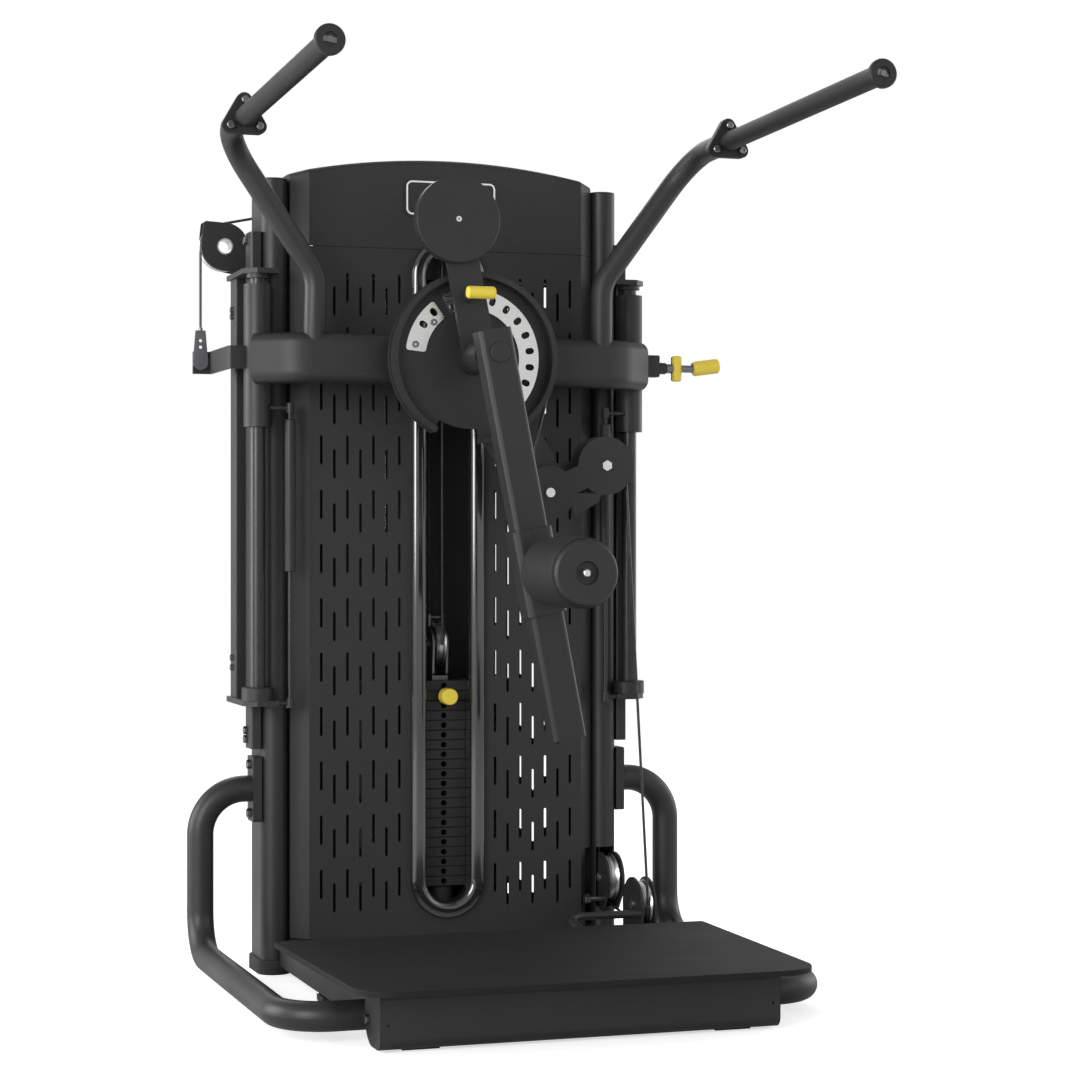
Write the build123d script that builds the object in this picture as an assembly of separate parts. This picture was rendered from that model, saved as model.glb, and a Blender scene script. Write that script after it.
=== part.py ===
"""Standing multi-hip machine: a weight-stack tower, a height-adjustable carriage and a swinging roller lever.

Units are millimetres. X runs to the right of someone facing the machine, Y runs to its back and Z runs up.
The parts are drawn with X = 0 on the machine's middle plane, Y = 0 on the uprights' middle plane and
Z = 0 on the floor. Before export everything is shifted so that the origin is the centre of its footprint.
"""
from build123d import *
import math
import os

# ---------------------------------------------------------------- driving dimensions
# tower
UPRIGHT_X = 316
UPRIGHT_WIDTH = 50
UPRIGHT_DEPTH = 120
UPRIGHT_WALL = 3
UPRIGHT_BOTTOM = 8
UPRIGHT_TOP = 1438
INNER_X = UPRIGHT_X - UPRIGHT_WIDTH / 2
OUTER_X = UPRIGHT_X + UPRIGHT_WIDTH / 2
BASE_BEAM_TOP = 62
TOP_BEAM_BOTTOM = 1270
TOP_BEAM_TOP = 1310

# front cover
SHEET = 2
PANEL_FRONT = -79
PANEL_HALF = 260.5
PANEL_SIDE = 289
PANEL_CHAMFER = PANEL_SIDE - PANEL_HALF
PANEL_BOTTOM = 64
PANEL_TOP = 1318
SLOT_PITCH_X = 24.4
SLOT_PITCH_Z = 98.4
SLOT_FIRST_X = 91.7
SLOT_TOP = 1271
SLOT_LENGTH = 53
SLOT_WIDTH = 5
SLOT_COLUMNS = 7
SLOT_ROWS = 12
COVER_CORNER_TOP = 1452
COVER_APEX = 1484
COVER_BACK = 66
COVER_GAP = 1
TRIM_HALF = 71
TRIM_OPENING_HALF = 41
TRIM_BOTTOM = 91
TRIM_TOP = 1341
TRIM_DEPTH = 14
BADGE_WIDTH = 178
BADGE_HEIGHT = 70
BADGE_Z = 1413

# weight stack
PLATE_WIDTH = 290
PLATE_DEPTH = 110
PLATE_THICK = 18
PLATE_COUNT = 20
STACK_BOTTOM = 147
BODY_GAP = 0.4
HEAD_PLATE_THICK = 19
STACK_ROD_X = 105
STACK_ROD_R = 10
STEM_R = 11

# carriage rails
RAIL_X = 355.5
RAIL_Y = -79
RAIL_R = 14
SLEEVE_R = 25
SLEEVE_BOTTOM = 989
SLEEVE_TOP = 1245
TOP_MOUNT_BOTTOM = 1264
TOP_MOUNT_TOP = 1273
LOW_MOUNT_BOTTOM = 488
LOW_MOUNT_TOP = 498
SEAT_TOP = 522
HEIGHT_STEP = 27.5
HEIGHT_STEPS = 8
GAS_X = 301
GAS_Y = -100
GAS_TOP = 1023
GAS_LOW = 487

# carriage
PIVOT_Z = 1110
CROSSBAR_Y = -155
CROSSBAR_DEPTH = 50
CROSSBAR_HEIGHT = 90
HOUSING_FRONT = -213
SHAFT_R = 15
RUN_FIT = 0.1
HANDLE_R = 20
GRIP_R = 17
HANDLE_BASE = (271, -160, 1138)
HANDLE_KNEE = (270, -165, 1257)
HANDLE_ELBOW = (438.6, -190, 1493)
GRIP_START = (440, -356, 1498.3)
GRIP_END = (445.3, -970.6, 1517.6)
FLANGE_REACH = 29

# cam and lever
TILT = 11
CABLE_Y = -240
CAM_R = 153
CAM_FACE_R = 126
CAM_RING_WALL = 10
CAM_FRONT = -259
CAM_BACK = -222
CAM_FACE_FRONT = -234
CAM_FACE_THICK = 8
INDEX_R = 108
INDEX_STEP = 15.5
ARM_FRONT = -287
ARM_THICK = 12
ARM_WIDTH = 58
COUNTERWEIGHT_L = 243
COUNTERWEIGHT_R = 76
LEVER_FRONT = -399
LEVER_DEPTH = 50
LEVER_WIDTH = 60
LEVER_LENGTH = 680
LEVER_HEAD = 38
ROLLER_L = 385.5
ROLLER_R = 60
ROLLER_BACK = -466
ROLLER_FRONT = -642

# cable and pulleys
CABLE_R = 2.5
GROOVE_FIT = 0.15
CABLE_JOINT = 1
PULLEY_R = 45
PULLEY_WIDTH = 18
WRAP_R = 43
OUTER_PULLEY = (246, 920)
INNER_PULLEY = (139, 871)
BALANCE_X = -384
LINK_X = BALANCE_X - WRAP_R
LINK_Z = PIVOT_Z + 4
LINK_LENGTH = 64
LINK_TOP = 59
BASE_FRONT = (332, -200, 118)
BASE_REAR = (UPRIGHT_X, -67, 152)
BALANCE = (BALANCE_X, 85, 1328)
TOP_PULLEY_Z = 1395
FLOAT_Z = 592

# platform and base tubes
DECK_TOP = 107
DECK_THICK = 9
DECK_BACK = -362
DECK_FRONT = -914
DECK_BACK_HALF = 391
DECK_FRONT_HALF = 377
DECK_CORNER_R = 70
BAR_FRONT = -841
BAR_DEPTH = 93
BAR_HALF = 332
BAR_BOTTOM = 4
BUMPER_R = 24
BUMPER_X = 449
BUMPER_Y = -25
BUMPER_Z = 335
BUMPER_FLOOR_Z = 42
RAIL_TUBE_X = 290
RAIL_TUBE_WIDTH = 44
RAIL_TUBE_BOTTOM = 14
RAIL_TUBE_BACK = -66
LEG_Y = -375

DECK_UNDER = DECK_TOP - DECK_THICK
SIDES = (-1, 1)


# ---------------------------------------------------------------- shape helpers
def block(x, y, z):
    """A box from its low and high limits along each axis."""
    size = (x[1] - x[0], y[1] - y[0], z[1] - z[0])
    return Pos((x[0] + x[1]) / 2, (y[0] + y[1]) / 2, (z[0] + z[1]) / 2) * Box(*size)


def rod(start, end, radius, bore=0):
    """A round bar, or a tube with a bore, between two points."""
    start, end = Vector(*start), Vector(*end)
    along = end - start
    at = Plane(origin=start, z_dir=along)
    low = (Align.CENTER, Align.CENTER, Align.MIN)
    bar = at * Cylinder(radius, along.length, align=low)
    if bore:
        bar = bar - at * Cylinder(bore, along.length, align=low)
    return bar


def along_x(x0, x1, y, z, radius, bore=0):
    return rod((x0, y, z), (x1, y, z), radius, bore)


def along_y(y0, y1, x, z, radius, bore=0):
    return rod((x, y0, z), (x, y1, z), radius, bore)


def along_z(z0, z1, x, y, radius, bore=0):
    return rod((x, y, z0), (x, y, z1), radius, bore)


def front_plate(sketch, back, thickness):
    """An X-Z outline given depth, from its back face towards the front."""
    return extrude(Plane.XZ.offset(-back) * sketch, thickness)


def plan_plate(sketch, bottom, thickness):
    """An X-Y outline given height."""
    return extrude(Plane.XY.offset(bottom) * sketch, thickness)


def side_plate(sketch, low_x, thickness):
    """A Y-Z outline given width along X."""
    return extrude(Plane.YZ.offset(low_x) * sketch, thickness)


def outline(*points):
    return make_face(Polyline(*points, close=True))


def stadium(width, depth):
    """A flat-oval section, rounded at both ends of its longer side."""
    return RectangleRounded(width, depth, min(width, depth) / 2 - 0.01)


def upright_stadium(x_half, bottom, top):
    """A round-ended outline standing in the X-Z plane."""
    return Pos(0, (bottom + top) / 2) * stadium(2 * x_half, top - bottom)


def swept(section, path):
    return sweep(Plane(origin=path @ 0, z_dir=path % 0) * section, path=path)


def bent_tube(points, radii, outer, wall):
    """A round tube along straight runs joined by bends."""
    path = FilletPolyline(*points, radius=radii)
    return swept(Circle(outer) - Circle(outer - wall), path)


def disc_hull(circles):
    """The tight outline round a list of (x, y, radius) circles."""
    return make_hull([e for x, y, r in circles for e in (Pos(x, y) * Circle(r)).edges()])


def mirrored(part):
    return mirror(part, about=Plane.YZ)


def both_sides(part):
    """A right-hand piece and its left-hand twin."""
    return [part, mirrored(part)]


def tilted(part):
    """Turns a piece drawn with an upright lever to the lever's resting angle about the pivot."""
    return Pos(0, 0, PIVOT_Z) * Rot(0, -TILT, 0) * Pos(0, 0, -PIVOT_Z) * part


def hex_bolt(at, direction, across=13, head=6, shank=0):
    """A hexagon head standing on a face, with an optional shank behind it."""
    plane = Plane(origin=at, z_dir=direction)
    bolt = plane * extrude(RegularPolygon(across / 2, 6, major_radius=False), head)
    bolt = chamfer(bolt.faces().sort_by(lambda f: -(f.center() - Vector(*at)).length)[0].edges(), 0.8)
    if shank:
        bolt = bolt + plane * Cylinder(across * 0.3, shank, align=(Align.CENTER, Align.CENTER, Align.MAX))
    return bolt


def pulley(centre, axis):
    """A grooved cable wheel with a bearing bore, turning about the named axis."""
    half = PULLEY_WIDTH / 2
    floor = WRAP_R - CABLE_R - GROOVE_FIT
    profile = outline(
        (8.1, -half), (14, -half), (14, -half + 3), (34, -half + 3), (37, -half), (PULLEY_R, -half),
        (floor, -CABLE_R - 0.5), (floor, CABLE_R + 0.5), (PULLEY_R, half), (37, half), (34, half - 3),
        (14, half - 3), (14, half), (8.1, half))
    wheel = revolve(Plane.XZ * profile, Axis.Z)
    turn = {"x": Rot(0, 90, 0), "y": Rot(90, 0, 0)}[axis]
    return Pos(*centre) * turn * wheel


# ---------------------------------------------------------------- tower frame
def uprights():
    section = stadium(UPRIGHT_WIDTH, UPRIGHT_DEPTH)
    bore = stadium(UPRIGHT_WIDTH - 2 * UPRIGHT_WALL, UPRIGHT_DEPTH - 2 * UPRIGHT_WALL)
    tube = plan_plate(section - bore, UPRIGHT_BOTTOM, UPRIGHT_TOP - UPRIGHT_BOTTOM)
    left = Pos(-UPRIGHT_X, 0, 0) * tube
    right = Pos(UPRIGHT_X, 0, 0) * tube
    base_slot = block((UPRIGHT_X - 17, UPRIGHT_X + 17), (-70, -30), (BASE_REAR[2] - 56, BASE_REAR[2] + 56))
    top_slot = block((INNER_X - 5, UPRIGHT_X - 18), (-36, -12), (TOP_PULLEY_Z - 50, UPRIGHT_TOP + 2))
    return [left, right - base_slot - top_slot]


def tube_end_caps():
    """Push-in plastic caps on the uprights and the front bar."""
    flat = plan_plate(stadium(UPRIGHT_WIDTH, UPRIGHT_DEPTH), UPRIGHT_TOP, 4)
    flat = fillet(flat.faces().sort_by(Axis.Z)[-1].edges(), 2)
    inside = stadium(UPRIGHT_WIDTH - 2 * UPRIGHT_WALL - 0.4, UPRIGHT_DEPTH - 2 * UPRIGHT_WALL - 0.4)
    plug = flat + plan_plate(inside, UPRIGHT_TOP - 12, 12)
    left = Pos(-UPRIGHT_X, 0, 0) * plug
    slot = block((INNER_X - 5, UPRIGHT_X + 9), (-38, -10), (TOP_PULLEY_Z, UPRIGHT_TOP))
    right = Pos(UPRIGHT_X, 0, 0) * plug - slot
    end = side_plate(bar_section(0), BAR_HALF - 3, 3)
    end = end + side_plate(bar_section(4.2), BAR_HALF - 18, 15)
    return [left, right] + both_sides(end)


def rubber_feet():
    """Shoes under the uprights and pads under the front bar and the platform legs."""
    shoe = plan_plate(stadium(UPRIGHT_WIDTH + 10, UPRIGHT_DEPTH + 10), 0, 26)
    shoe = fillet(shoe.faces().sort_by(Axis.Z)[-1].edges(), 3)
    shoe = shoe - plan_plate(stadium(UPRIGHT_WIDTH, UPRIGHT_DEPTH), UPRIGHT_BOTTOM, 30)
    shoe = Pos(UPRIGHT_X, 0, 0) * shoe
    shoe = shoe - block((INNER_X - 20, INNER_X), (-56, 56), (BASE_BEAM_TOP - 46, 30))
    bar_pad = block((230, 290), (BAR_FRONT + 25, BAR_FRONT + 68), (0, BAR_BOTTOM))
    leg_pad = block((RAIL_TUBE_X - 22, RAIL_TUBE_X + 22), (LEG_Y - 21, LEG_Y + 21), (0, 4))
    return both_sides(shoe) + both_sides(bar_pad) + both_sides(leg_pad)


def tower_beams():
    """The cross tubes that join the uprights behind the covers, at the base and near the top."""
    span = 2 * INNER_X
    base = Rectangle(110, 46) - Rectangle(102, 38)
    top = Rectangle(40, 40) - Rectangle(34, 34)
    low = side_plate(Pos(0, BASE_BEAM_TOP - 23) * base, -INNER_X, span)
    high = side_plate(Pos(0, (TOP_BEAM_BOTTOM + TOP_BEAM_TOP) / 2) * top, -INNER_X, span)
    return [low, high]


def cover_plan(inset, back):
    """Half of the covers' folded outline in plan, mirrored into a whole, for one skin of the sheet."""
    front = PANEL_FRONT + inset
    half = PANEL_HALF - inset * math.tan(math.radians(22.5))
    side = PANEL_SIDE - inset
    fold = PANEL_FRONT + PANEL_CHAMFER + inset * math.tan(math.radians(22.5))
    return outline((-half, front), (half, front), (side, fold), (side, back), (-side, back), (-side, fold))


def panel_slots():
    """Every slot of the perforated panels: two staggered sets of upright slots on each side."""
    slots = []
    for column in range(SLOT_COLUMNS):
        x = SLOT_FIRST_X + column * SLOT_PITCH_X
        drop = 25 if column % 2 else 0
        for row in range(SLOT_ROWS):
            z = SLOT_TOP - SLOT_LENGTH / 2 - drop - row * SLOT_PITCH_Z
            for side in SIDES:
                slots.append(Pos(side * x, z) * SlotOverall(SLOT_LENGTH, SLOT_WIDTH, rotation=90))
    return slots


def front_shroud():
    """The folded sheet panel with its slots, its window and a lip that rests on the base beam."""
    back = -21
    outer = plan_plate(cover_plan(0, back), PANEL_BOTTOM, PANEL_TOP - PANEL_BOTTOM)
    inner = plan_plate(cover_plan(SHEET, back + 1), PANEL_BOTTOM - 1, PANEL_TOP - PANEL_BOTTOM + 2)
    window = upright_stadium(TRIM_OPENING_HALF + 5, TRIM_BOTTOM + 25, TRIM_TOP + 100)
    holes = Sketch() + panel_slots() + window
    panel = outer - inner - front_plate(holes, PANEL_FRONT + 10, 20)
    notch = block((PANEL_HALF + 12, PANEL_SIDE + 5), (-90, 0), (PANEL_BOTTOM - 5, BASE_REAR[2] + 56))
    lip = block((-PANEL_HALF + 8, PANEL_HALF - 8), (PANEL_FRONT, -50), (BASE_BEAM_TOP, PANEL_BOTTOM))
    tongue = block((TRIM_HALF, PANEL_HALF - 8), (PANEL_FRONT + 3.2, PANEL_FRONT + 5),
                   (PANEL_TOP - 20, PANEL_TOP + 12))
    spacer = block((TRIM_HALF, PANEL_HALF - 8), (PANEL_FRONT + SHEET, PANEL_FRONT + 3.2),
                   (PANEL_TOP - 20, PANEL_TOP - 2))
    return [panel - notch + lip + both_sides(tongue + spacer)]


def rear_shroud():
    """The perforated sheet behind the stack, folded forward at its sides and along its foot."""
    side = PANEL_SIDE - 1
    sheet = block((-side, side), (COVER_BACK, COVER_BACK + SHEET), (BASE_BEAM_TOP, PANEL_TOP))
    sheet = sheet - front_plate(Sketch() + panel_slots(), COVER_BACK + 10, 20)
    fold = block((side - SHEET, side), (COVER_BACK - 22, COVER_BACK + SHEET), (BASE_BEAM_TOP, PANEL_TOP))
    foot = block((-side, side), (30, COVER_BACK + SHEET), (BASE_BEAM_TOP, PANEL_BOTTOM))
    return [sheet + foot + both_sides(fold)]


def cover_front_outline(inset):
    half = PANEL_SIDE - inset
    crown = COVER_APEX - inset
    corner = COVER_CORNER_TOP - inset
    bottom = PANEL_TOP + COVER_GAP
    edges = [Line((-half, bottom), (half, bottom)), Line((half, bottom), (half, corner)),
             ThreePointArc((half, corner), (0, crown), (-half, corner)),
             Line((-half, corner), (-half, bottom))]
    return make_face(Wire(edges))


def head_cover():
    """The arched cover on top of the tower, open below and behind."""
    depth = COVER_BACK - PANEL_FRONT
    outer = front_plate(cover_front_outline(0), COVER_BACK, depth)
    outer = outer & plan_plate(cover_plan(0, COVER_BACK), PANEL_TOP, 200)
    crown = outer.edges().filter_by(lambda e: e.center().Z > COVER_CORNER_TOP - 8 and e.center().Y < -40)
    outer = fillet(crown, 12)
    inner = front_plate(cover_front_outline(3), COVER_BACK + 1, depth + 1)
    inner = inner & plan_plate(cover_plan(3, COVER_BACK + 1), PANEL_TOP - 10, 200)
    inner = inner + Pos(0, 0, -8) * inner
    arch = upright_stadium(TRIM_OPENING_HALF + 5, TRIM_BOTTOM, TRIM_TOP - 25)
    arch = front_plate(arch, PANEL_FRONT + 10, 20)
    pulley_gap = block((PANEL_SIDE - 9, PANEL_SIDE + 6), (-40, -8), (TOP_PULLEY_Z - 55, TOP_PULLEY_Z + 50))
    cable_gap = block((-PANEL_SIDE - 6, -PANEL_SIDE + 9), (58, COVER_BACK + 1), (1380, 1440))
    return [outer - inner - arch - pulley_gap - cable_gap]


def window_trim():
    """The rounded moulding round the stack window, with a lip that lines the opening."""
    ring = upright_stadium(TRIM_HALF, TRIM_BOTTOM, TRIM_TOP)
    side = TRIM_HALF - TRIM_OPENING_HALF
    hole = upright_stadium(TRIM_OPENING_HALF, TRIM_BOTTOM + side, TRIM_TOP - side)
    moulding = front_plate(ring - hole, PANEL_FRONT, TRIM_DEPTH)
    front = moulding.faces().sort_by(Axis.Y)[0]
    moulding = fillet(front.edges(), 12)
    throat = upright_stadium(TRIM_OPENING_HALF + 3, TRIM_BOTTOM + side - 3, TRIM_TOP - side + 3)
    lip = front_plate(throat - hole, PANEL_FRONT + 20, 20)
    return [moulding + lip]


def badge_plate():
    """A blank plate with a raised border, in two pieces."""
    plate = front_plate(Pos(6, BADGE_Z) * RectangleRounded(BADGE_WIDTH, BADGE_HEIGHT, 14), PANEL_FRONT, 2)
    rim = RectangleRounded(BADGE_WIDTH - 8, BADGE_HEIGHT - 8, 11) - RectangleRounded(
        BADGE_WIDTH - 14, BADGE_HEIGHT - 14, 8)
    border = front_plate(Pos(6, BADGE_Z) * rim, PANEL_FRONT - 2, 0.8)
    return [plate, border]


# ---------------------------------------------------------------- weight stack
def weight_plate(bottom, thickness):
    """One bored plate: two rod holes, a stem hole and a front pin hole."""
    plate = block((-PLATE_WIDTH / 2, PLATE_WIDTH / 2), (-PLATE_DEPTH / 2, PLATE_DEPTH / 2),
                  (bottom, bottom + thickness))
    plate = chamfer(plate.edges().filter_by(Axis.X), 1.2)
    top = bottom + thickness
    for x in (-STACK_ROD_X, STACK_ROD_X):
        plate = plate - along_z(bottom, top, x, 0, STACK_ROD_R + 1)
    plate = plate - along_z(bottom, top, 0, 0, STEM_R + 2)
    return plate - along_y(-PLATE_DEPTH / 2 - 1, 0, 0, bottom + thickness / 2, 5.5)


def plate_bottom(number):
    """Underside of a weight plate, counted from the lowest; the top one rides with the head plate."""
    lift = BODY_GAP if number == PLATE_COUNT - 1 else 0
    return STACK_BOTTOM + number * PLATE_THICK + lift


HEAD_BOTTOM = STACK_BOTTOM + PLATE_COUNT * PLATE_THICK + BODY_GAP
HEAD_TOP = HEAD_BOTTOM + HEAD_PLATE_THICK
PIN_Z = plate_bottom(PLATE_COUNT - 1) + PLATE_THICK / 2


def weight_plates():
    return [weight_plate(plate_bottom(i), PLATE_THICK) for i in range(PLATE_COUNT - 1)]


def head_plate():
    """The top weight plate and the head plate, which the yoke lifts together."""
    head = weight_plate(HEAD_BOTTOM, HEAD_PLATE_THICK)
    return [weight_plate(plate_bottom(PLATE_COUNT - 1), PLATE_THICK), head]


def stack_guide_rods():
    return [along_z(BASE_BEAM_TOP, TOP_BEAM_BOTTOM, x, 0, STACK_ROD_R) for x in (-STACK_ROD_X, STACK_ROD_X)]


def stack_buffers():
    """Rubber buffers that the lowest plate rests on."""
    side = along_z(BASE_BEAM_TOP, STACK_BOTTOM, STACK_ROD_X, 0, 25, STACK_ROD_R + 0.5)
    middle = along_z(BASE_BEAM_TOP, STACK_BOTTOM, 0, -22, 26)
    return both_sides(side) + [middle]


def selector_stem():
    """The drilled stem through the plates, and the yoke that holds the floating pulley."""
    stem = along_z(STACK_BOTTOM + 6, HEAD_TOP + 6, 0, 0, STEM_R)
    for number in range(PLATE_COUNT):
        level = plate_bottom(number) + PLATE_THICK / 2
        stem = stem - along_y(-STEM_R - 1, STEM_R + 1, 0, level, 5.3)
    seat = block((-15, 15), (-30, 30), (HEAD_TOP, HEAD_TOP + 8))
    cheek = disc_hull([(0, FLOAT_Z, 34), (-22, HEAD_TOP + 14, 8), (22, HEAD_TOP + 14, 8)])
    cheeks = side_plate(cheek, -15, 4) + side_plate(cheek, 11, 4)
    cheeks = cheeks - along_x(-20, 20, 0, FLOAT_Z, 8)
    axle = along_x(-18, 18, 0, FLOAT_Z, 8)
    keeper = along_x(-15, 15, 0, FLOAT_Z + 50, 3) + block((-15, -11), (-5, 5), (FLOAT_Z + 25, FLOAT_Z + 55))
    keeper = keeper + block((11, 15), (-5, 5), (FLOAT_Z + 25, FLOAT_Z + 55))
    return [stem + seat + cheeks + keeper, axle]


def selector_pin():
    """The pin and its round knob, pushed into the top weight plate."""
    knob_back = -PLATE_DEPTH / 2 - 12
    shank = along_y(knob_back, STEM_R - 1, 0, PIN_Z, 5)
    knob = along_y(knob_back - 32, knob_back, 0, PIN_Z, 15)
    knob = fillet(knob.edges().filter_by(GeomType.CIRCLE), 3)
    return [shank + along_y(knob_back, knob_back + 8, 0, PIN_Z, 8), knob]


# ---------------------------------------------------------------- carriage rails
def side_rails():
    """The flat bars bolted to the uprights and the posts that tie the rod mounts together."""
    bar = block((OUTER_X, OUTER_X + 20), (-50, 0), (408, 1344))
    bar = fillet(bar.edges().filter_by(Axis.Z), 4)
    post = RectangleRounded(30, 46, 4) - RectangleRounded(25, 41, 2)
    post = Pos(361, 39, 0) * plan_plate(post, LOW_MOUNT_TOP, TOP_MOUNT_BOTTOM - LOW_MOUNT_TOP)
    return both_sides(bar) + both_sides(post)


def guide_rods():
    """Ground rods that the sleeves slide on; the right one is drilled for the height pin."""
    left = along_z(LOW_MOUNT_BOTTOM, TOP_MOUNT_TOP - 1, -RAIL_X, RAIL_Y, RAIL_R)
    right = mirrored(left)
    for step in range(HEIGHT_STEPS + 1):
        level = PIVOT_Z - step * HEIGHT_STEP
        right = right - along_x(RAIL_X - 2, RAIL_X + RAIL_R + 1, RAIL_Y, level, 6)
    return [left, right]


def rod_mounts():
    """Plates at both ends of each guide rod, with a turned seat on the lower one."""
    edge = outline((322, -107), (362, -107), (383, -82), (380, 76), (OUTER_X + 2, 76), (OUTER_X + 2, -64),
                   (322, -64))
    top = plan_plate(edge, TOP_MOUNT_BOTTOM, TOP_MOUNT_TOP - TOP_MOUNT_BOTTOM)
    top = top + along_z(TOP_MOUNT_BOTTOM - 8, TOP_MOUNT_BOTTOM, RAIL_X, RAIL_Y, 20)
    low = plan_plate(edge, LOW_MOUNT_BOTTOM, LOW_MOUNT_TOP - LOW_MOUNT_BOTTOM)
    seat = along_z(LOW_MOUNT_TOP, SEAT_TOP, RAIL_X, RAIL_Y, 28.5)
    seat = chamfer(seat.faces().sort_by(Axis.Z)[-1].edges(), 2)
    hollow = along_z(LOW_MOUNT_BOTTOM - 1, TOP_MOUNT_TOP + 1, RAIL_X, RAIL_Y, RAIL_R)
    bar = block((OUTER_X, OUTER_X + 20), (-50, 0), (408, 1344))
    stud = along_x(GAS_X, 324, GAS_Y, (LOW_MOUNT_BOTTOM + LOW_MOUNT_TOP) / 2, 4)
    pieces = [top - hollow - bar, low + seat + stud - hollow - bar]
    return pieces + [mirrored(p) for p in pieces]


def gas_rods():
    """The springs' thin rods, with a ball socket on each lower stud."""
    stud_z = (LOW_MOUNT_BOTTOM + LOW_MOUNT_TOP) / 2
    socket = along_z(stud_z - 8, stud_z + 10, GAS_X, GAS_Y, 7)
    socket = socket - along_x(GAS_X - 1, GAS_X + 10, GAS_Y, stud_z, 4)
    return both_sides(socket + along_z(stud_z + 10, 760, GAS_X, GAS_Y, 4))


def gas_cylinders():
    """The springs' cylinders, hung from the sleeves and open below for the rods."""
    body = along_z(729, 1002, GAS_X, GAS_Y, 10)
    body = fillet(body.edges().filter_by(GeomType.CIRCLE), 1.5)
    body = body - along_z(728, 996, GAS_X, GAS_Y, 4.3)
    neck = along_z(1002, GAS_TOP - 8, GAS_X, GAS_Y, 4)
    socket = along_z(GAS_TOP - 9, GAS_TOP + 9, GAS_X, GAS_Y, 7)
    socket = socket - along_x(GAS_X - 1, GAS_X + 10, GAS_Y, GAS_TOP, 4)
    return both_sides(body + neck + socket)


# ---------------------------------------------------------------- carriage
def slide_sleeves():
    """Welded sleeves with a bush at each end and a stud for the gas spring."""
    tube = along_z(SLEEVE_BOTTOM, SLEEVE_TOP, RAIL_X, RAIL_Y, SLEEVE_R, 18)
    tube = tube + along_x(GAS_X, RAIL_X - 18, GAS_Y, GAS_TOP, 4)
    tube = tube - along_z(SLEEVE_BOTTOM, SLEEVE_TOP, RAIL_X, RAIL_Y, 18)
    right = tube - along_x(RAIL_X + 10, RAIL_X + 30, RAIL_Y, PIVOT_Z, 6)
    bushes = []
    for low in (SLEEVE_BOTTOM, SLEEVE_TOP - 34):
        bushes += both_sides(along_z(low, low + 34, RAIL_X, RAIL_Y, 18, RAIL_R + 0.05))
    return [mirrored(tube), right] + bushes


def crossbar_path(inset):
    """The bar's centre line, shorter by the inset at each end."""
    end_x, end_y = 362, -104
    knee_x = 300
    length = math.hypot(end_x - knee_x, CROSSBAR_Y - end_y)
    end_x -= inset * (end_x - knee_x) / length
    end_y += inset * (CROSSBAR_Y - end_y) / length
    points = [(-end_x, end_y), (-knee_x, CROSSBAR_Y), (knee_x, CROSSBAR_Y), (end_x, end_y)]
    return FilletPolyline(*[(x, y, PIVOT_Z) for x, y in points], radius=60)


def bar_sweep(path, wall):
    section = RectangleRounded(CROSSBAR_DEPTH - 2 * wall, CROSSBAR_HEIGHT - 2 * wall, 20 - wall)
    plane = Plane(origin=path @ 0, x_dir=Vector(0, 0, 1).cross(path % 0), z_dir=path % 0)
    return sweep(plane * section, path=path)


def crossbar():
    """The bowed bar between the sleeves with the pivot housing on its front, and the pivot shaft."""
    outer = bar_sweep(crossbar_path(0), 0)
    bar = outer - bar_sweep(crossbar_path(5), 4)
    for x in (-RAIL_X, RAIL_X):
        bar = bar - along_z(PIVOT_Z - 60, PIVOT_Z + 60, x, RAIL_Y, SLEEVE_R)
    housing = along_y(HOUSING_FRONT, CROSSBAR_Y + 20, 0, PIVOT_Z, 42)
    bar = bar + housing - along_y(HOUSING_FRONT - 1, CROSSBAR_Y + 15, 0, PIVOT_Z, SHAFT_R)
    shaft = along_y(LEVER_FRONT - 0.5, CROSSBAR_Y + 15, 0, PIVOT_Z, SHAFT_R)
    cap = along_y(LEVER_FRONT - 4.5, LEVER_FRONT - 0.5, 0, PIVOT_Z, 17.5)
    cap = fillet(cap.faces().sort_by(Axis.Y)[0].edges(), 1)
    return [bar, shaft + cap]


def flange_lobes():
    """Screw centres of the handle's flanges, as X and Z."""
    x, z = GRIP_START[0], GRIP_START[2]
    turns = [math.radians(angle) for angle in (90, 210, 330)]
    return [(x + FLANGE_REACH * math.cos(a), z + FLANGE_REACH * math.sin(a)) for a in turns]


def triangle_flange(y_back):
    """A rounded three-lobed flange plate standing across the handle."""
    plate = front_plate(disc_hull([(x, z, 13) for x, z in flange_lobes()]), y_back, 8)
    for x, z in flange_lobes():
        plate = plate - along_y(y_back - 10, y_back + 1, x, z, 4.2)
    return plate


def handle_tubes():
    """The bent tubes that rise from the crossbar to the grip flanges."""
    flange_y = GRIP_START[1]
    points = [HANDLE_BASE, HANDLE_KNEE, HANDLE_ELBOW, (GRIP_START[0], flange_y + 8, GRIP_START[2])]
    tube = bent_tube(points, [75, 85], HANDLE_R, 3)
    tube = tube - bar_sweep(crossbar_path(0), 0)
    plate = triangle_flange(flange_y + 8)
    return both_sides(tube + plate)


def hand_grips():
    """The straight grips, each on its own flange plate."""
    start = Vector(*GRIP_START)
    along = (Vector(*GRIP_END) - start).normalized()
    tip = Vector(*GRIP_END) + along * 2
    tube = rod(tuple(start + along * 4), tuple(tip), GRIP_R, GRIP_R - 3)
    plate = triangle_flange(GRIP_START[1])
    return both_sides(tube + plate)


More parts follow.
